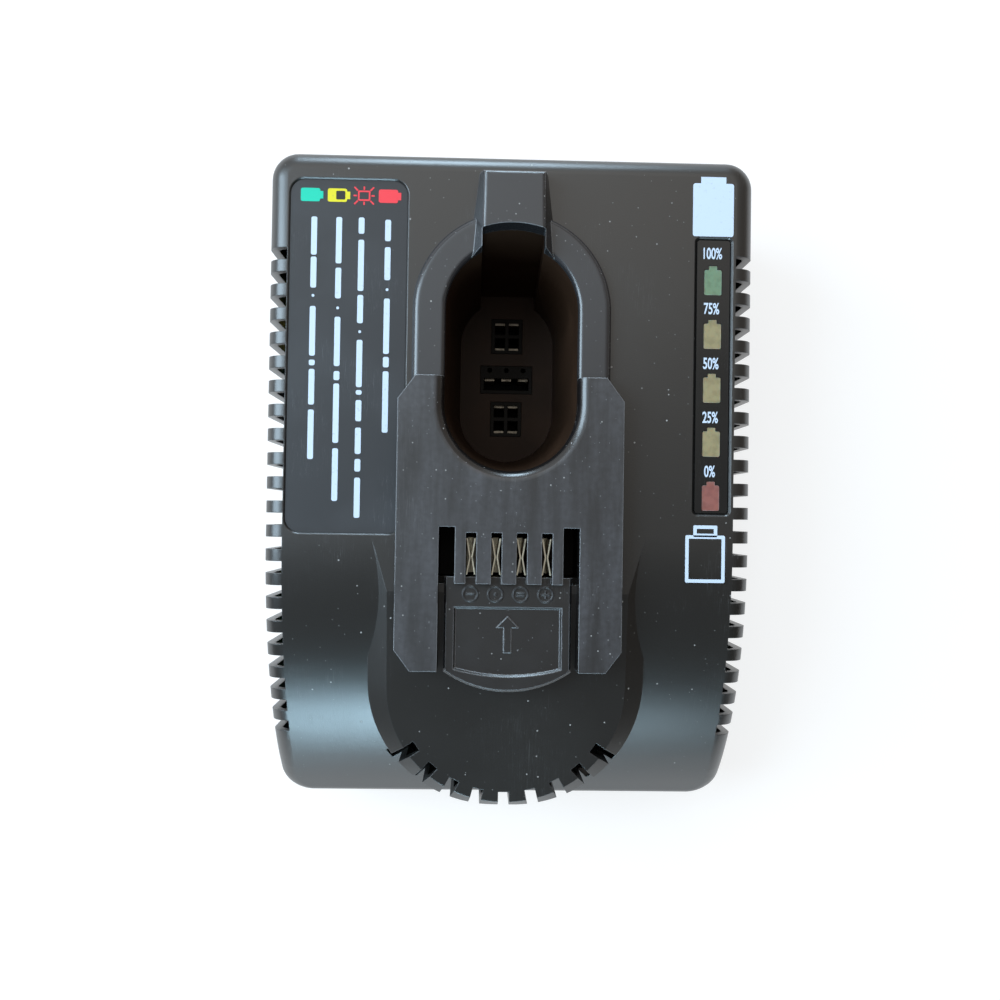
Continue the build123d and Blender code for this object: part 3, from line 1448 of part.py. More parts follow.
pin_places = [(-inlet_pin_pitch / 2, 0), (inlet_pin_pitch / 2, 0)]

with BuildPart() as mains_inlet:
    with BuildSketch(inlet_face):
        Rectangle(inlet_width, inlet_tall)
    extrude(amount=-inlet_depth)
    # Shoulder behind the wall of the shell
    with BuildSketch(inlet_face.offset(-wall)):
        Rectangle(inlet_width + 2 * inlet_shoulder, inlet_tall + 2 * inlet_shoulder)
    extrude(amount=-2 * inlet_shoulder)
    with BuildSketch(inlet_face):
        SlotOverall(inlet_mouth_width, inlet_mouth_tall)
    extrude(amount=-inlet_mouth_depth, mode=Mode.SUBTRACT)
    with BuildSketch(inlet_face):
        with Locations(pin_places):
            Circle(inlet_pin_radius + screw_gap)
    extrude(amount=-inlet_depth, mode=Mode.SUBTRACT)
mains_inlet.part.label = "mains_inlet"
export_step(mains_inlet.part, "parts/mains_inlet.step")

with BuildPart() as inlet_pins:
    with BuildSketch(inlet_face.offset(-inlet_pin_setback)):
        with Locations(pin_places):
            Circle(inlet_pin_radius)
    extrude(amount=inlet_pin_setback - inlet_depth - inlet_pin_tail)
    fillet(inlet_pins.faces().group_by(Axis.Y)[-1].edges(), inlet_pin_radius / 2)
inlet_pins.part.label = "inlet_pins"
export_step(inlet_pins.part, "parts/inlet_pins.step")

# ---- Wiring --------------------------------------------------------------------------------


def slide_lead(x):
    """A wire from the tail of a slide contact down to the main board."""
    top = terminal_block_bottom - contact_tail_reach
    middle = (top + board_top) / 2
    with BuildPart() as lead:
        with BuildLine():
            FilletPolyline(
                (x, contact_waist_y, top),
                (x, contact_waist_y, middle + slide_lead_bend),
                (x, slide_lead_landing_y, middle - slide_lead_bend),
                (x, slide_lead_landing_y, board_top),
                radius=slide_lead_bend,
            )
        with BuildSketch(Plane(origin=(x, contact_waist_y, top), z_dir=(0, 0, -1))):
            Circle(lead_radius)
        sweep()
    return lead.part


def mains_lead(x):
    """A wire from the tail of an inlet pin forward and down to the main board."""
    start_y = inlet_body_front_y - inlet_pin_tail
    with BuildPart() as lead:
        with BuildLine():
            FilletPolyline(
                (x, start_y, inlet_height),
                (x, mains_lead_landing_y, inlet_height),
                (x, mains_lead_landing_y, board_top),
                radius=mains_lead_bend,
            )
        with BuildSketch(Plane(origin=(x, start_y, inlet_height), z_dir=(0, -1, 0))):
            Circle(lead_radius)
        sweep()
    return lead.part


with BuildPart() as slide_lead_negative:
    add(slide_lead(slide_contact_x[0]))
slide_lead_negative.part.label = "slide_lead_negative"
export_step(slide_lead_negative.part, "parts/slide_lead_negative.step")

with BuildPart() as slide_leads_sense:
    add(slide_lead(slide_contact_x[1]))
    add(slide_lead(slide_contact_x[-2]))
slide_leads_sense.part.label = "slide_leads_sense"
export_step(slide_leads_sense.part, "parts/slide_leads_sense.step")

with BuildPart() as slide_lead_positive:
    add(slide_lead(slide_contact_x[-1]))
slide_lead_positive.part.label = "slide_lead_positive"
export_step(slide_lead_positive.part, "parts/slide_lead_positive.step")

with BuildPart() as mains_leads:
    add(mains_lead(inlet_x - inlet_pin_pitch / 2))
    add(mains_lead(inlet_x + inlet_pin_pitch / 2))
mains_leads.part.label = "mains_leads"
export_step(mains_leads.part, "parts/mains_leads.step")

with BuildPart() as ribbon_connector:
    with BuildSketch(Plane.XY.offset(board_top)):
        with Locations((indicator_board_x, ribbon_y)):
            Rectangle(connector_size[0], connector_size[1])
    extrude(amount=connector_size[2])
ribbon_connector.part.label = "ribbon_connector"
export_step(ribbon_connector.part, "parts/ribbon_connector.step")

with BuildPart() as indicator_ribbon:
    with BuildSketch(Plane.XY.offset(board_top + connector_size[2])):
        with Locations((indicator_board_x, ribbon_y)):
            Rectangle(ribbon_thickness, ribbon_width)
    extrude(amount=indicator_board_top - indicator_board_thickness - board_top - connector_size[2])
indicator_ribbon.part.label = "indicator_ribbon"
export_step(indicator_ribbon.part, "parts/indicator_ribbon.step")

# ---- Screws --------------------------------------------------------------------------------


def screws(places, seat, length):
    """Pan-head screws driven upwards: the heads' bearing faces at height seat."""
    with BuildPart() as group:
        with BuildSketch(Plane.XY.offset(seat - screw_head_height)):
            with Locations(places):
                Circle(screw_head_radius)
        extrude(amount=screw_head_height)
        fillet(group.faces().group_by(Axis.Z)[0].edges(), screw_head_height / 3)
        with BuildSketch(Plane.XY.offset(seat - screw_head_height)):
            with Locations(places):
                Rectangle(screw_cross_length, screw_cross_width)
                Rectangle(screw_cross_width, screw_cross_length)
        extrude(amount=screw_head_height / 2, mode=Mode.SUBTRACT)
        with BuildSketch(Plane.XY.offset(seat)):
            with Locations(places):
                Circle(screw_radius)
        extrude(amount=length)
    return group.part


with BuildPart() as housing_screws:
    add(screws(post_places, screw_seat, screw_length))
housing_screws.part.label = "housing_screws"
export_step(housing_screws.part, "parts/housing_screws.step")

with BuildPart() as dock_screws:
    add(screws(dock_screw_places, deck_under, dock_screw_length))
dock_screws.part.label = "dock_screws"
export_step(dock_screws.part, "parts/dock_screws.step")

with BuildPart() as indicator_screws:
    add(screws(indicator_post_places, indicator_board_top - indicator_board_thickness, board_screw_length))
indicator_screws.part.label = "indicator_screws"
export_step(indicator_screws.part, "parts/indicator_screws.step")

turned_places = [(x, -y) for x, y in board_screw_places]

with BuildPart() as board_screws:
    # Driven downwards, so the group is an upward one turned over
    add(screws(turned_places, -board_top, board_screw_length).rotate(Axis.X, 180))
board_screws.part.label = "board_screws"
export_step(board_screws.part, "parts/board_screws.step")
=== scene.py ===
import json
from math import cos, pi, radians, sin

import bmesh
import bpy
from mathutils import Matrix, Vector


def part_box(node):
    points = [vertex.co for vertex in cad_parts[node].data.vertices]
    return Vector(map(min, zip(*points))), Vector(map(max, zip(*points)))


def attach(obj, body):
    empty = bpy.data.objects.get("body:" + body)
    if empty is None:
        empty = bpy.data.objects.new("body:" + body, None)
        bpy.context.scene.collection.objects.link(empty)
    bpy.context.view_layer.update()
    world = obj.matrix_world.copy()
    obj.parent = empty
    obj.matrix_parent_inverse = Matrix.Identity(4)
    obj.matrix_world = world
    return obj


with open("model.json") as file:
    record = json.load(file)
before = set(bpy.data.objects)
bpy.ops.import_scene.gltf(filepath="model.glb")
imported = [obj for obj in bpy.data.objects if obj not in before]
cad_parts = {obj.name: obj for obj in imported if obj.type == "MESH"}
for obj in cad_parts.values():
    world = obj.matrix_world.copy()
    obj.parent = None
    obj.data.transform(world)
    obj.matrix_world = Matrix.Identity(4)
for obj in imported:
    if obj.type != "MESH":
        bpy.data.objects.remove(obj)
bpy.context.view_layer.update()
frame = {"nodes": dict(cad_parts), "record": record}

MM = 0.001
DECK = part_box("top_shell")[1].z


# ---- Procedural materials ------------------------------------------------------------------


class Look:
    """One procedural material: a Principled shader, and the textures that feed it."""

    def __init__(self, name, color, roughness, metallic=0.0, **sockets):
        self.material = bpy.data.materials.new(name)
        self.material.use_nodes = True
        self.nodes = self.material.node_tree.nodes
        self.links = self.material.node_tree.links
        self.shader = self.nodes["Principled BSDF"]
        self.shader.inputs["Metallic"].default_value = metallic
        for socket, value in sockets.items():
            self.shader.inputs[socket.replace("_", " ")].default_value = value
        self.place = self.node("ShaderNodeTexCoord").outputs["Object"]
        self.color = (*color, 1.0)
        self.roughness = roughness
        self.normal = None

    def node(self, kind, inputs=None, **settings):
        """A node with its settings, its inputs linked where they are sockets and typed in elsewhere."""
        node = self.nodes.new(kind)
        for key, value in settings.items():
            setattr(node, key, value)
        for key, value in (inputs or {}).items():
            if isinstance(value, bpy.types.NodeSocket):
                self.links.new(value, node.inputs[key])
            else:
                node.inputs[key].default_value = value
        return node

    def math(self, operation, a, b=0.0):
        return self.node("ShaderNodeMath", {0: a, 1: b}, operation=operation).outputs[0]

    def band(self, value, start, end):
        """0 where the value is at start or beyond, 1 at end, with a smooth change between."""
        inputs = {"Value": value, "From Min": start, "From Max": end}
        return self.node("ShaderNodeMapRange", inputs, interpolation_type="SMOOTHSTEP").outputs["Result"]

    def stretched(self, stretch, turn=0.0):
        """The object's coordinates, turned about Z and scaled by a factor for each axis."""
        inputs = {"Vector": self.place, "Rotation": (0.0, 0.0, turn), "Scale": stretch}
        return self.node("ShaderNodeMapping", inputs).outputs[0]

    def noise(self, scale, detail=2.0, place=None):
        inputs = {"Vector": place or self.place, "Scale": scale, "Detail": detail}
        return self.node("ShaderNodeTexNoise", inputs).outputs["Fac"]

    def axis(self, name):
        return self.node("ShaderNodeSeparateXYZ", {0: self.place}).outputs[name]

    def facing_up(self):
        normal = self.node("ShaderNodeNewGeometry").outputs["Normal"]
        return self.node("ShaderNodeSeparateXYZ", {0: normal}).outputs["Z"]

    def tint(self, factor, color):
        """Mixes a colour in by a factor."""
        inputs = {"Factor": factor, 6: self.color, 7: (*color, 1.0)}
        self.color = self.node("ShaderNodeMix", inputs, data_type="RGBA").outputs[2]

    def roughen(self, factor, roughness):
        """Mixes a roughness in by a factor."""
        inputs = {"Factor": factor, 2: self.roughness, 3: roughness}
        self.roughness = self.node("ShaderNodeMix", inputs, data_type="FLOAT").outputs[0]

    def raise_by(self, height, depth):
        """Bump of a given depth in metres from a height between 0 and 1."""
        inputs = {"Height": height, "Distance": depth}
        if self.normal:
            inputs["Normal"] = self.normal
        self.normal = self.node("ShaderNodeBump", inputs).outputs[0]

    def round_edges(self, radius):
        """Softens every sharp edge in the shading, as a mould's small radius does."""
        self.normal = self.node("ShaderNodeBevel", {"Radius": radius}, samples=4).outputs[0]

    def edges(self, radius):
        """1 along the sharp edges and 0 away from them."""
        rounded = self.node("ShaderNodeBevel", {"Radius": radius}, samples=4).outputs[0]
        flat = self.node("ShaderNodeNewGeometry").outputs["Normal"]
        dot = self.node("ShaderNodeVectorMath", {0: rounded, 1: flat}, operation="DOT_PRODUCT")
        return self.band(dot.outputs["Value"], 0.995, 0.85)

    def grain(self, size, depth):
        """Fine spark-eroded texture of a moulding."""
        self.raise_by(self.noise(1 / size, 3.0), depth)

    def patches(self, size, amount, color, roughness):
        """Broad soft patches where the surface is dustier or more handled."""
        cover = self.math("MULTIPLY", self.band(self.noise(1 / size, 4.0), 0.42, 0.68), amount)
        self.tint(cover, color)
        self.roughen(cover, roughness)

    def specks(self, spacing, radius, share, color):
        """Dust specks: a dot in a share of the cells of a grid, on faces that look up."""
        cells = self.node("ShaderNodeTexVoronoi", {"Vector": self.place, "Scale": 1 / spacing})
        dot = self.band(cells.outputs["Distance"], radius / spacing, radius / spacing / 2)
        chosen = self.node("ShaderNodeSeparateColor", {0: cells.outputs["Color"]}).outputs[0]
        kept = self.math("LESS_THAN", chosen, share)
        upward = self.band(self.facing_up(), 0.3, 0.8)
        dust = self.math("MULTIPLY", self.math("MULTIPLY", dot, kept), upward)
        self.tint(dust, color)
        self.roughen(dust, 0.9)

    def scratches(self, turn, width, length, share, color, strength):
        """Fine straight scratches along one direction, in a share of the surface."""
        lines = self.noise(1.0, 1.0, self.stretched((1 / width, 1 / length, 1 / length), turn))
        line = self.band(self.math("ABSOLUTE", self.math("SUBTRACT", lines, 0.5)), 0.012, 0.0)
        where = self.band(self.noise(0.6 / length, 2.0), 1.0 - share, 1.1 - share)
        cover = self.math("MULTIPLY", self.math("MULTIPLY", line, where), strength)
        self.tint(cover, color)
        self.roughen(cover, 0.6)

    def done(self):
        values = {"Base Color": self.color, "Roughness": self.roughness, "Normal": self.normal}
        for name, value in values.items():
            if isinstance(value, bpy.types.NodeSocket):
                self.links.new(value, self.shader.inputs[name])
            elif value is not None:
                self.shader.inputs[name].default_value = value
        return self.material


def housing_black():
    """Satin black ABS: grain, dust specks, hairline scratches, and brighter edges that are part wear and
    part painted highlight.
    """
    look = Look("housing_black", (0.011, 0.0105, 0.010), 0.32, Specular_IOR_Level=1.0)
    look.round_edges(0.35 * MM)
    look.grain(0.45 * MM, 0.020 * MM)
    look.patches(45 * MM, 0.30, (0.020, 0.019, 0.018), 0.40)
    # Brighter edges: part wear, part painted highlight where the rounded edges catch the windows
    look.tint(look.math("MULTIPLY", look.edges(0.45 * MM), 0.45), (0.11, 0.12, 0.13))
    # Only the faces that look up are scratched
    upward = look.band(look.facing_up(), 0.5, 0.9)
    faint = look.math("MULTIPLY", upward, 0.5)
    look.scratches(0.5, 0.35 * MM, 22 * MM, 0.45, (0.10, 0.10, 0.10), faint)
    fainter = look.math("MULTIPLY", upward, 0.4)
    look.scratches(-0.9, 0.4 * MM, 15 * MM, 0.42, (0.10, 0.10, 0.10), fainter)
    look.specks(11.0 * MM, 0.42 * MM, 0.30, (0.48, 0.47, 0.45))
    look.specks(4.5 * MM, 0.33 * MM, 0.55, (0.38, 0.37, 0.36))
    look.specks(1.9 * MM, 0.18 * MM, 0.30, (0.22, 0.22, 0.21))
    return look.done()


PLATE_BACK = 30 * MM  # Y where the rail plate meets the collar
PLATE_SHOULDER = 77 * MM  # Z just below the rail plate's face
SIGNS_Y = -30.2 * MM  # middle of the row of raised polarity signs


def dock_black():
    """Glass-filled nylon: satin on the collar, scuffed and dusty grey where packs slide."""
    look = Look("dock_black", (0.009, 0.008, 0.008), 0.38, Specular_IOR_Level=0.9)
    look.round_edges(0.4 * MM)
    look.grain(0.35 * MM, 0.020 * MM)
    look.tint(look.band(look.axis("Y"), PLATE_BACK, PLATE_BACK + 4 * MM), (0.028, 0.028, 0.031))
    slid_over = look.band(look.axis("Y"), PLATE_BACK + 4 * MM, PLATE_BACK)
    on_plate = look.band(look.axis("Z"), PLATE_SHOULDER, PLATE_SHOULDER + 1.6 * MM)
    slid_over = look.math("MULTIPLY", slid_over, on_plate)
    slid_over = look.math("MULTIPLY", slid_over, look.band(look.facing_up(), 0.90, 0.99))
    streaks = look.noise(1.0, 4.0, look.stretched((260.0, 32.0, 120.0)))
    clouds = look.band(look.noise(700.0, 4.0), -0.4, 1.0)
    scuffs = look.math("MULTIPLY", look.band(streaks, 0.15, 0.85), clouds)
    look.tint(look.math("MULTIPLY", slid_over, scuffs), (0.080, 0.080, 0.090))
    look.roughen(slid_over, 0.42)
    look.patches(14 * MM, 0.15, (0.034, 0.034, 0.037), 0.44)
    # The brighter edges are part wear and part painted highlight, and weaker on the row of small raised
    # signs in front of the comb
    from_signs = look.math("ABSOLUTE", look.math("SUBTRACT", look.axis("Y"), SIGNS_Y))
    off_signs = look.band(from_signs, 2.2 * MM, 2.9 * MM)
    edge_wear_and_highlight = look.math("MULTIPLY", look.math("ADD", off_signs, 0.25), 0.64)
    look.tint(look.math("MULTIPLY", look.edges(0.45 * MM), edge_wear_and_highlight), (0.40, 0.42, 0.45))
    # Rims and flanks are polished by the packs
    look.roughen(look.band(look.facing_up(), 0.99, 0.93), 0.24)
    rubbed = look.math("MULTIPLY", slid_over, 0.45)
    look.scratches(0.0, 0.25 * MM, 30 * MM, 0.50, (0.16, 0.16, 0.17), rubbed)
    look.scratches(0.7, 0.3 * MM, 14 * MM, 0.42, (0.16, 0.16, 0.17), 0.5)
    look.specks(8.0 * MM, 0.34 * MM, 0.25, (0.45, 0.44, 0.42))
    look.specks(2.8 * MM, 0.26 * MM, 0.50, (0.36, 0.35, 0.34))
    look.specks(1.4 * MM, 0.16 * MM, 0.40, (0.26, 0.26, 0.27))
    return look.done()


def moulding(name, color, roughness, edge=(0.12, 0.11, 0.10), dust=0.25, **sockets):
    """A plain inner moulding: fine grain, worn edges and a little settled dust."""
    look = Look(name, color, roughness, **sockets)
    look.round_edges(0.25 * MM)
    look.grain(0.25 * MM, 0.006 * MM)
    look.patches(18 * MM, dust, tuple(2.4 * c for c in color), min(roughness + 0.15, 1.0))
    look.tint(look.math("MULTIPLY", look.edges(0.3 * MM), 0.35), edge)
    look.specks(3.2 * MM, 0.10 * MM, 0.25, (0.30, 0.28, 0.26))
    return look.done()


def film(name, color, roughness):
    """A printed film: smooth with a faint orange-peel, finger marks and hairlines."""
    look = Look(name, color, roughness)
    look.raise_by(look.noise(900.0, 2.0), 0.004 * MM)
    look.patches(22 * MM, 0.35, tuple(1.5 * c for c in color), roughness + 0.12)
    look.scratches(0.9, 0.3 * MM, 12 * MM, 0.48, tuple(min(4.0 * c, 1.0) for c in color), 0.5)
    look.specks(4.4 * MM, 0.12 * MM, 0.25, (0.36, 0.35, 0.34))
    return look.done()


def window_plastic(name, color):
    """A translucent light guide, hazy, with a fine vertical flow pattern and a painted highlight along its
    edges.
    """
    look = Look(name, color, 0.28, Subsurface_Weight=0.25, Subsurface_Scale=1.5 * MM)
    # Painted highlight: the window's edges are lighter, standing in for the lit wall of its recess
    look.tint(look.math("MULTIPLY", look.edges(0.5 * MM), 0.6), tuple(0.3 + 0.7 * c for c in color))
    look.patches(1.8 * MM, 0.45, tuple(0.55 * c for c in color), 0.40)
    flow = look.noise(1.0, 2.0, look.stretched((2500.0, 500.0, 200.0)))
    look.raise_by(flow, 0.010 * MM)
    return look.done()


def metal(name, color, roughness, brush=(3000.0, 120.0, 120.0)):
    """A drawn or plated metal with brushing and darker stains."""
    look = Look(name, color, roughness, metallic=1.0)
    look.round_edges(0.1 * MM)
    brushed = look.noise(1.0, 2.0, look.stretched(brush))
    look.raise_by(brushed, 0.003 * MM)
    look.roughen(look.band(brushed, 0.4, 0.7), roughness + 0.18)
    look.tint(look.band(look.noise(350.0, 3.0), 0.55, 0.8), tuple(0.55 * c for c in color))
    return look.done()


def printed(name, color):
    """Screen-printed ink: slightly uneven, worn thin in small spots."""
    look = Look(name, color, 0.45)
    thin = look.math("MULTIPLY", look.band(look.noise(900.0, 3.0), 0.60, 0.80), 0.25)
    look.tint(thin, (0.20, 0.20, 0.20))
    look.raise_by(look.noise(2500.0, 2.0), 0.004 * MM)
    return look.done()


def board():
    """Green solder mask with tinned pads and tracks."""
    look = Look("board_green", (0.012, 0.090, 0.035), 0.30)
    inputs = {"Vector": look.place, "Scale": 260.0}
    tracks = look.node("ShaderNodeTexVoronoi", inputs, distance="MANHATTAN")
    track = look.band(tracks.outputs["Distance"], 0.42, 0.36)
    look.tint(look.math("MULTIPLY", track, 0.5), (0.03, 0.16, 0.06))
    pads = look.node("ShaderNodeTexVoronoi", {"Vector": look.place, "Scale": 190.0})
    pad = look.band(pads.outputs["Distance"], 0.20, 0.16)
    look.tint(pad, (0.62, 0.62, 0.60))
    look.roughen(pad, 0.38)
    look.raise_by(track, 0.02 * MM)
    return look.done()


def wound(name, color, turns_per_metre, roughness=0.35, axis=2):
    """Windings: rows of wire or tape round the piece, as ridges along one axis, with painted shade between
    them.
    """
    look = Look(name, color, roughness)
    level = look.axis("XYZ"[axis])
    ridge = look.math("SINE", look.math("MULTIPLY", level, 2 * pi * turns_per_metre))
    # Painted shade: the troughs between the turns are darker
    look.tint(look.band(ridge, -0.2, -1.0), tuple(0.45 * c for c in color))
    look.raise_by(ridge, 0.10 * MM)
    look.patches(6 * MM, 0.3, tuple(0.7 * c for c in color), roughness + 0.2)
    return look.done()


def sleeve(name, color, roughness=0.25):
    """A shrunk or cast skin with slight ripples."""
    look = Look(name, color, roughness)
    look.round_edges(0.3 * MM)
    look.raise_by(look.noise(300.0, 3.0), 0.03 * MM)
    look.patches(9 * MM, 0.35, tuple(1.6 * c for c in color), roughness + 0.2)
    return look.done()


def clear_glass():
    look = Look("glass", (0.85, 0.90, 0.90), 0.05, Transmission_Weight=0.9)
    look.roughen(look.band(look.noise(500.0, 2.0), 0.5, 0.8), 0.15)
    return look.done()


IN_THE_WELL = {"edge": (0.030, 0.024, 0.020), "Specular_IOR_Level": 0.15}  # dull, hardly worn mouldings
LOOKS = {
    "housing_black": housing_black(),
    "dock_black": dock_black(),
    "well_black": moulding("well_black", (0.032, 0.017, 0.010), 0.42, **IN_THE_WELL),
    "terminal_black": moulding("terminal_black", (0.006, 0.005, 0.004), 0.50, **IN_THE_WELL),
    "label_grey": film("label_grey", (0.036, 0.038, 0.042), 0.38),
    "strip_black": film("strip_black", (0.009, 0.009, 0.009), 0.20),
    "light_green": window_plastic("light_green", (0.19, 0.29, 0.18)),
    "light_amber": window_plastic("light_amber", (0.37, 0.31, 0.17)),
    "light_red": window_plastic("light_red", (0.34, 0.13, 0.11)),
    "contact_metal": metal("contact_metal", (0.80, 0.76, 0.62), 0.34),
    # Painted shade: a darker copy of contact_metal for the blades at the bottom of the well
    "dull_contact": metal("dull_contact", (0.30, 0.27, 0.22), 0.45),
    "steel": metal("steel", (0.56, 0.56, 0.58), 0.34),
    "rubber": moulding("rubber", (0.020, 0.020, 0.020), 0.75, edge=(0.05, 0.05, 0.05)),
    "rating_film": film("rating_film", (0.30, 0.31, 0.32), 0.38),
    "board_green": board(),
    "ferrite": sleeve("ferrite", (0.030, 0.030, 0.034), 0.55),
    "bobbin_plastic": moulding("bobbin_plastic", (0.030, 0.030, 0.030), 0.45),
    "winding_tape": wound("winding_tape", (0.72, 0.52, 0.06), 160.0),
    "copper": wound("copper", (0.52, 0.20, 0.07), 1200.0, 0.25),
    "can_sleeve": sleeve("can_sleeve", (0.020, 0.026, 0.040)),
    "capacitor_case": sleeve("capacitor_case", (0.52, 0.37, 0.07), 0.35),
    "package_black": sleeve("package_black", (0.018, 0.018, 0.018), 0.50),
    "glass": clear_glass(),
    "aluminium": metal("aluminium", (0.70, 0.71, 0.72), 0.36, brush=(120.0, 120.0, 3000.0)),
    "lamp": sleeve("lamp", (0.72, 0.70, 0.55), 0.30),
    "lead_red": sleeve("lead_red", (0.45, 0.02, 0.02), 0.35),
    "lead_black": sleeve("lead_black", (0.015, 0.015, 0.015), 0.35),
    "lead_white": sleeve("lead_white", (0.66, 0.66, 0.63), 0.35),
    "lead_brown": sleeve("lead_brown", (0.14, 0.06, 0.025), 0.35),
    "ribbon_grey": wound("ribbon_grey", (0.30, 0.31, 0.33), 790.0, 0.4, axis=1),
    "connector_white": sleeve("connector_white", (0.70, 0.68, 0.62), 0.40),
}
for subpart in frame["record"]["subparts"]:
    node = frame["nodes"][subpart["node"]]
    node.data.materials.clear()
    node.data.materials.append(LOOKS[subpart["material_slot"]])
# The blades at the bottom of the well get a darker, rougher copy of the contact metal; the darker colour
# is painted shade
for name in ("pod_front_contacts", "pod_back_contacts", "pod_sense_contacts"):
    frame["nodes"][name].data.materials[0] = LOOKS["dull_contact"]


# ---- Print on the deck, the label and the strip --------------------------------------------

INK = 0.06 * MM  # thickness of the print

LEGEND_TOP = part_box("legend_label")[1].z
STRIP_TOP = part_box("indicator_strip")[1].z


def outline(width, length, corner, steps=6):
    """Corner points of a rounded rectangle about the origin."""
    points = []
    for quarter in range(4):
        middle_x = (width / 2 - corner) * (1 if quarter in (0, 3) else -1)
        middle_y = (length / 2 - corner) * (1 if quarter in (0, 1) else -1)
        for step in range(steps + 1):
            angle = pi / 2 * (quarter + step / steps)
            points.append((middle_x + corner * cos(angle), middle_y + corner * sin(angle)))
    return points


def battery(width, length, corner, nub_width, nub_length):
    """Outline of an upright battery pictogram, its nub at +Y."""
    half = nub_width / 2
    back = length / 2
    tip = back + nub_length
    body = outline(width, length, corner)
    cut = len(body) // 4  # the nub goes between the two back corners
    return body[:cut] + [(half, back), (half, tip), (-half, tip), (-half, back)] + body[cut:]


def frame_of(width, length, corner, line, inner_corner):
    """Outlines of a rounded rectangle and of the hole that leaves a line of even width."""
    return outline(width, length, corner), outline(width - 2 * line, length - 2 * line, inner_corner)


class Print:
    """Flat ink shapes, each a thin solid plate, gathered into one piece."""

    def __init__(self, name, material, level):
        self.name = name
        self.material = material
        self.level = level
        self.mesh = bmesh.new()

    def shape(self, points, x, y, turn=0.0, hole=None):
        """A plate with the given outline, and a hole with as many points, if one is given."""
        spin = Matrix.Rotation(turn, 2)
        rings = []
        for ring in (points, hole or []):
            flat = [spin @ Vector(p) + Vector((x, y)) for p in ring]
            levels = (self.level, self.level + INK)
            rings.append([[self.mesh.verts.new((p.x, p.y, z)) for p in flat] for z in levels])
        (low, high), (hole_low, hole_high) = rings
        count = len(low)
        if not hole:
            self.mesh.faces.new(high)
            self.mesh.faces.new(reversed(low))
        for i in range(count):
            j = (i + 1) % count
            self.mesh.faces.new((low[i], low[j], high[j], high[i]))
            if hole:
                self.mesh.faces.new((hole_low[j], hole_low[i], hole_high[i], hole_high[j]))
                self.mesh.faces.new((high[i], high[j], hole_high[j], hole_high[i]))
                self.mesh.faces.new((low[j], low[i], hole_low[i], hole_low[j]))

    def bar(self, width, length, corner, x, y, turn=0.0):
        self.shape(outline(width, length, corner, 3), x, y, turn)

    def done(self, slot):
        data = bpy.data.meshes.new(self.name)
        bmesh.ops.recalc_face_normals(self.mesh, faces=self.mesh.faces)
        self.mesh.to_mesh(data)
        self.mesh.free()
        piece = bpy.data.objects.new(self.name, data)
        bpy.context.scene.collection.objects.link(piece)
        data.materials.append(self.material)
        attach(piece, "root")


INK_WHITE = printed("ink_white", (0.68, 0.79, 0.95))
INK_GREEN = printed("ink_green", (0.0, 0.66, 0.44))
INK_YELLOW = printed("ink_yellow", (0.86, 0.76, 0.02))
INK_RED = printed("ink_red", (0.98, 0.055, 0.075))
INK_BLACK = printed("ink_black", (0.02, 0.02, 0.02))

# Legend: four columns that read towards the front. Each has the X of its icon, the X of its words,
# and plain bars the length of a word, as pairs of back and front ends. All in mm.
LEGEND = {
    "green": (
        -58.6,
        -57.8,
        [(78.7, 67.0), (67.0, 57.4), (55.9, 54.9), (52.6, 37.6), (37.0, 34.8), (34.3, 23.4), (22.5, 7.6)],
    ),
    "yellow": (
        -50.8,
        -50.6,
        [(78.7, 64.6), (63.9, 54.4), (52.4, 51.4), (49.6, 34.7), (33.8, 30.6), (30.2, 12.4), (11.4, -4.4)],
    ),
    "flash": (
        -43.5,
        -44.1,
        [(78.7, 73.4), (72.2, 56.7), (56.1, 47.3), (45.6, 44.6), (43.0, 28.7)]
        + [(28.4, 26.5), (25.5, 18.8), (17.5, 9.3), (8.4, 4.2), (3.0, -9.2)],
    ),
    "red": (
        -36.0,
        -36.4,
        [(78.2, 71.4), (70.2, 60.0), (58.0, 57.0), (55.2, 38.5), (38.2, 34.6), (34.0, 15.6)],
    ),
}
ICON_X = {column: icon_x * MM for column, (icon_x, _, _) in LEGEND.items()}
ICON_Y = 84.8 * MM
ICON_WIDTH = 3.9 * MM
ICON_LENGTH = 5.6 * MM
ICON_NUB = 0.9 * MM
WORD_WIDTH = 1.7 * MM
WORD_GAP = 0.55 * MM
DOT = 0.8 * MM
SHORTEST_WORD = 1.2 * MM  # anything shorter is a dot

words = Print("legend_words", INK_WHITE, LEGEND_TOP)
for _, text_x, bars in LEGEND.values():
    for back, front in bars:
        length = (back - front) * MM - WORD_GAP
        middle = (back + front) / 2 * MM
        if length < SHORTEST_WORD:
            words.bar(DOT, DOT, 0.35 * MM, text_x * MM, middle)
        else:
            words.bar(WORD_WIDTH, length, 0.5 * MM, text_x * MM, middle)
words.done("label_grey")

icon = battery(ICON_WIDTH, ICON_LENGTH, 0.6 * MM, 2.2 * MM, ICON_NUB)
for column, ink in (("green", INK_GREEN), ("yellow", INK_YELLOW), ("red", INK_RED)):
    sign = Print(f"legend_icon_{column}", ink, LEGEND_TOP)
    # The pictograms lie on their sides, nubs towards the right
    sign.shape(icon, ICON_X[column] - ICON_NUB / 2, ICON_Y, -pi / 2)
    sign.done("label_grey")

window = Print("legend_icon_yellow_window", INK_BLACK, LEGEND_TOP + INK)
window.bar(2.6 * MM, 2.5 * MM, 0.3 * MM, ICON_X["yellow"] + 0.5 * MM, ICON_Y)
window.done("label_grey")

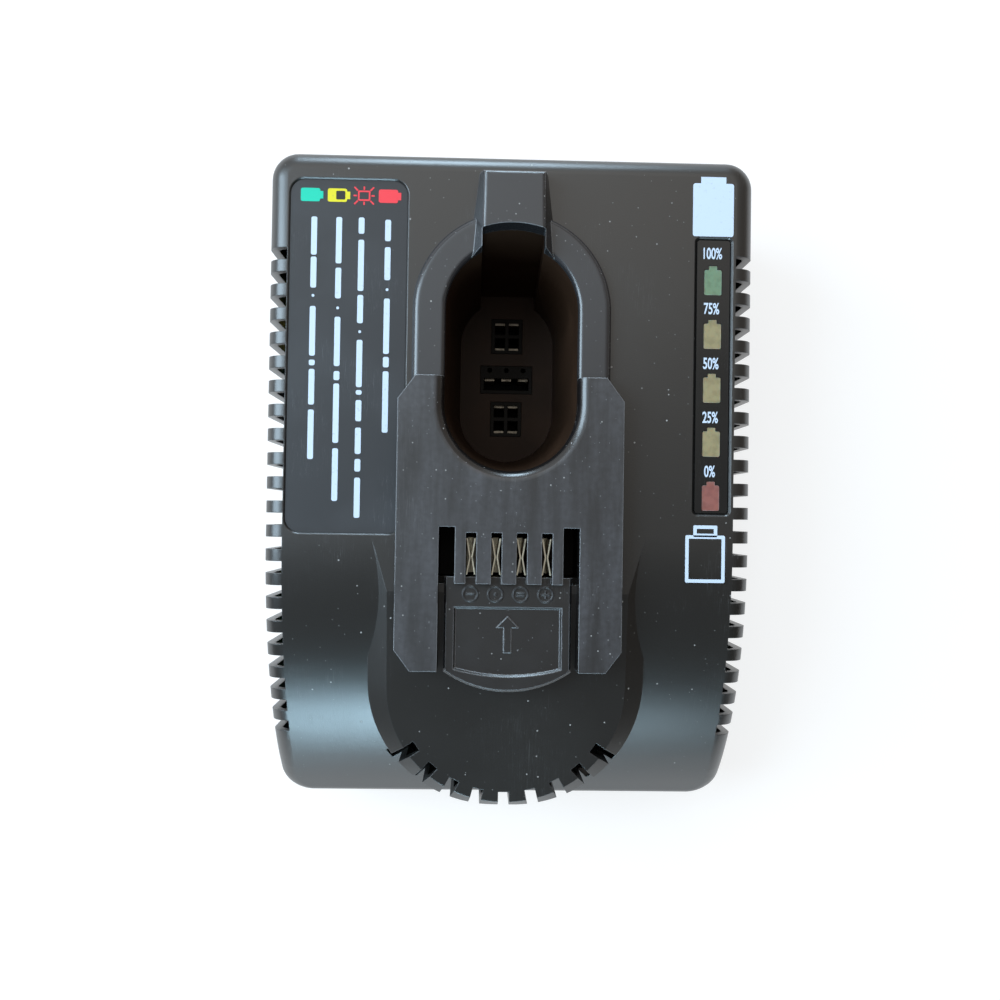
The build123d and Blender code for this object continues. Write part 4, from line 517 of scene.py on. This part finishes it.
# Flashing light: a small empty battery with rays round it, every other ray longer and further out
FLASH_LINE = 0.45 * MM
RAYS = 8
RAY_SQUASH = 0.85  # the ring of rays is a little shorter along Y than along X
flash = Print("legend_icon_flashing", INK_RED, LEGEND_TOP)
case, hole = frame_of(3.0 * MM, 3.6 * MM, 0.4 * MM, FLASH_LINE, 0.2 * MM)
flash.shape(case, ICON_X["flash"], ICON_Y, -pi / 2, hole)
for ray in range(RAYS):
    angle = 2 * pi / RAYS * ray
    reach, ray_length = (3.3 * MM, 1.5 * MM) if ray % 2 else (2.6 * MM, 1.0 * MM)
    ray_x = ICON_X["flash"] + reach * cos(angle)
    ray_y = ICON_Y + RAY_SQUASH * reach * sin(angle)
    flash.bar(ray_length, FLASH_LINE, 0.15 * MM, ray_x, ray_y, angle)
flash.done("label_grey")

# Full and empty battery above and below the strip
FULL_X = 58.6 * MM
FULL_Y = 82.8 * MM
EMPTY_X = 57.3 * MM
EMPTY_Y = -19.4 * MM
EMPTY_NUB_Y = -11.3 * MM
EMPTY_LINE = 1.0 * MM

full = Print("battery_full_print", INK_WHITE, DECK)
full.shape(battery(12.0 * MM, 15.6 * MM, 0.7 * MM, 7.4 * MM, 1.9 * MM), FULL_X, FULL_Y)
full.done("housing_black")

empty = Print("battery_empty_print", INK_WHITE, DECK)
case, hole = frame_of(11.6 * MM, 13.8 * MM, 0.5 * MM, EMPTY_LINE, 0.2 * MM)
empty.shape(case, EMPTY_X, EMPTY_Y, hole=hole)
nub, hole = frame_of(7.0 * MM, 3.4 * MM, 0.3 * MM, EMPTY_LINE, 0.15 * MM)
empty.shape(nub, EMPTY_X, EMPTY_NUB_Y, hole=hole)
empty.done("housing_black")

# Plain percentages beside the lights
NUMBERS = {"100%": 69.9, "75%": 53.7, "50%": 37.6, "25%": 21.8, "0%": 6.0}  # Y in mm
NUMBER_X = 58.4 * MM
NUMBER_HEIGHT = 3.3 * MM
FIGURE_HEIGHT = 0.72  # of a figure, as a share of the font's size
FIGURE_SQUEEZE = 0.60  # width of the condensed figures, as a share of the font's
BOLDNESS = 0.02  # growth of every stroke's edge, as a share of the font's size

for number, y in NUMBERS.items():
    text = bpy.data.curves.new("number", "FONT")
    text.body = number
    text.align_x = "CENTER"
    text.align_y = "CENTER"
    text.size = NUMBER_HEIGHT / FIGURE_HEIGHT
    text.offset = BOLDNESS * text.size
    text.extrude = INK / 2
    holder = bpy.data.objects.new("number", text)
    bpy.context.scene.collection.objects.link(holder)
    bpy.context.view_layer.update()
    evaluated = holder.evaluated_get(bpy.context.evaluated_depsgraph_get())
    mesh = bpy.data.meshes.new_from_object(evaluated)
    bpy.data.objects.remove(holder)
    mesh.transform(Matrix.Diagonal((FIGURE_SQUEEZE, 1.0, 1.0, 1.0)))
    mesh.transform(Matrix.Translation((NUMBER_X, y * MM, STRIP_TOP + INK / 2)))
    piece = bpy.data.objects.new(f"number_{number[:-1]}", mesh)
    bpy.context.scene.collection.objects.link(piece)
    mesh.materials.clear()
    mesh.materials.append(INK_WHITE)
    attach(piece, "root")


# ---- Floor, light and camera ---------------------------------------------------------------


def ray_mix(tree, others, seen, rays):
    """Mixes two shaders: the second is what the named kinds of ray see."""
    path = tree.nodes.new("ShaderNodeLightPath")
    factor = path.outputs[rays[0]]
    for ray in rays[1:]:
        either = tree.nodes.new("ShaderNodeMath")
        either.operation = "MAXIMUM"
        tree.links.new(factor, either.inputs[0])
        tree.links.new(path.outputs[ray], either.inputs[1])
        factor = either.outputs[0]
    mix = tree.nodes.new("ShaderNodeMixShader")
    tree.links.new(factor, mix.inputs[0])
    tree.links.new(others, mix.inputs[1])
    tree.links.new(seen, mix.inputs[2])
    return mix.outputs[0]


FLOOR_HALF = 4.0
PAPER = 0.34  # what the floor sends back of the light that falls on it
GLOW = 0.74  # what the floor adds near the object, so that it shows as white
GLOW_GROWS = (0.4, 2.4)  # distances between which the glow rises to full white
SEEN_BY = ("Is Camera Ray", "Is Glossy Ray", "Is Transmission Ray")  # the rays that see it white


def map_range(tree, value, start, end, low, high):
    """A smooth change from low to high while the value goes from start to end."""
    change = tree.nodes.new("ShaderNodeMapRange")
    change.interpolation_type = "SMOOTHSTEP"
    settings = {"From Min": start, "From Max": end, "To Min": low, "To Max": high}
    for name, setting in settings.items():
        change.inputs[name].default_value = setting
    tree.links.new(value, change.inputs["Value"])
    return change.outputs["Result"]


def pale_floor():
    """White to the camera and in reflections, with the object's soft shadow kept."""
    material = bpy.data.materials.new("pale_floor")
    material.use_nodes = True
    tree = material.node_tree
    tree.nodes.clear()
    paper = tree.nodes.new("ShaderNodeBsdfDiffuse")
    paper.inputs["Color"].default_value = (PAPER, PAPER, PAPER, 1.0)
    # The glow grows away from the object, where less of the windows' light falls
    place = tree.nodes.new("ShaderNodeTexCoord")
    far = tree.nodes.new("ShaderNodeVectorMath")
    far.operation = "LENGTH"
    tree.links.new(place.outputs["Object"], far.inputs[0])
    glow = tree.nodes.new("ShaderNodeEmission")
    grown = map_range(tree, far.outputs["Value"], *GLOW_GROWS, GLOW, 1.0)
    tree.links.new(grown, glow.inputs["Strength"])
    both = tree.nodes.new("ShaderNodeAddShader")
    tree.links.new(paper.outputs[0], both.inputs[0])
    tree.links.new(glow.outputs[0], both.inputs[1])
    plain = tree.nodes.new("ShaderNodeBsdfDiffuse")
    plain.inputs["Color"].default_value = (0.30, 0.27, 0.24, 1.0)
    shown = ray_mix(tree, plain.outputs[0], both.outputs[0], SEEN_BY)
    output = tree.nodes.new("ShaderNodeOutputMaterial")
    tree.links.new(shown, output.inputs[0])
    return material


floor_mesh = bpy.data.meshes.new("floor")
corners = [(FLOOR_HALF * x, FLOOR_HALF * y, 0) for x, y in ((-1, -1), (1, -1), (1, 1), (-1, 1))]
floor_mesh.from_pydata(corners, [], [(0, 1, 2, 3)])
floor_mesh.materials.append(pale_floor())
floor = bpy.data.objects.new("floor", floor_mesh)
bpy.context.scene.collection.objects.link(floor)

# The world: white to the camera, and a room that is brightest behind the object and to its left
world = bpy.data.worlds.new("studio")
bpy.context.scene.world = world
world.use_nodes = True
tree = world.node_tree
tree.nodes.clear()
direction = tree.nodes.new("ShaderNodeTexCoord")
parts = tree.nodes.new("ShaderNodeSeparateXYZ")
tree.links.new(direction.outputs["Generated"], parts.inputs[0])
strength = tree.nodes.new("ShaderNodeMath")
strength.operation = "MULTIPLY"
tree.links.new(map_range(tree, parts.outputs["Y"], -0.35, 0.45, 0.18, 0.68), strength.inputs[0])
tree.links.new(map_range(tree, parts.outputs["X"], -0.1, 0.7, 1.0, 0.55), strength.inputs[1])
tone = tree.nodes.new("ShaderNodeMix")
tone.data_type = "RGBA"
tone.inputs[6].default_value = (1.0, 0.99, 0.97, 1.0)
tone.inputs[7].default_value = (1.0, 0.88, 0.76, 1.0)
tree.links.new(map_range(tree, parts.outputs["X"], -0.1, 0.5, 0.0, 1.0), tone.inputs["Factor"])
room = tree.nodes.new("ShaderNodeBackground")
tree.links.new(tone.outputs[2], room.inputs["Color"])
tree.links.new(strength.outputs[0], room.inputs["Strength"])
white = tree.nodes.new("ShaderNodeBackground")
white.inputs["Color"].default_value = (1.0, 1.0, 1.0, 1.0)
shown = ray_mix(tree, room.outputs[0], white.outputs[0], ("Is Camera Ray",))
tree.links.new(shown, tree.nodes.new("ShaderNodeOutputWorld").inputs[0])


AIM = Vector((0.0, 0.0, 0.05))  # the point that every light faces


def window_light(name, place, size, strength, color):
    """A soft rectangular light that faces the object. The strength is its brightness."""
    data = bpy.data.lights.new(name, "AREA")
    data.shape = "RECTANGLE"
    data.size, data.size_y = size
    data.energy = strength * size[0] * size[1] * pi
    data.color = color
    light = bpy.data.objects.new(name, data)
    light.location = place
    light.rotation_euler = (AIM - Vector(place)).to_track_quat("-Z", "Y").to_euler()
    bpy.context.scene.collection.objects.link(light)


window_light("window_left", (-1.05, 0.22, 1.0), (0.8, 1.1), 8.0, (0.64, 0.84, 1.0))
window_light("window_back", (-0.05, 1.5, 0.45), (0.35, 0.7), 15.0, (0.62, 0.83, 1.0))
window_light("window_front", (-0.22, -1.5, 0.46), (0.45, 0.45), 15.0, (0.55, 0.83, 1.0))
window_light("window_side", (0.24, -1.5, 0.44), (0.3, 0.45), 4.0, (0.62, 0.86, 1.0))
window_light("ceiling", (0.0, 0.75, 1.5), (1.2, 0.9), 0.6, (1.0, 0.96, 0.90))

# The camera hangs above the well, almost straight over the object
camera_data = bpy.data.cameras.new("camera")
camera_data.type = "PERSP"
camera_data.sensor_width = 36.0
camera_data.lens = 36.83
camera_data.clip_start = 0.01
camera = bpy.data.objects.new("camera", camera_data)
camera.location = (-0.0101, -0.00845, 0.3685)
camera.rotation_euler = (radians(1.008), radians(-1.456), radians(0.874))
bpy.context.scene.collection.objects.link(camera)
bpy.context.scene.camera = camera

bpy.context.scene.view_settings.view_transform = "Standard"
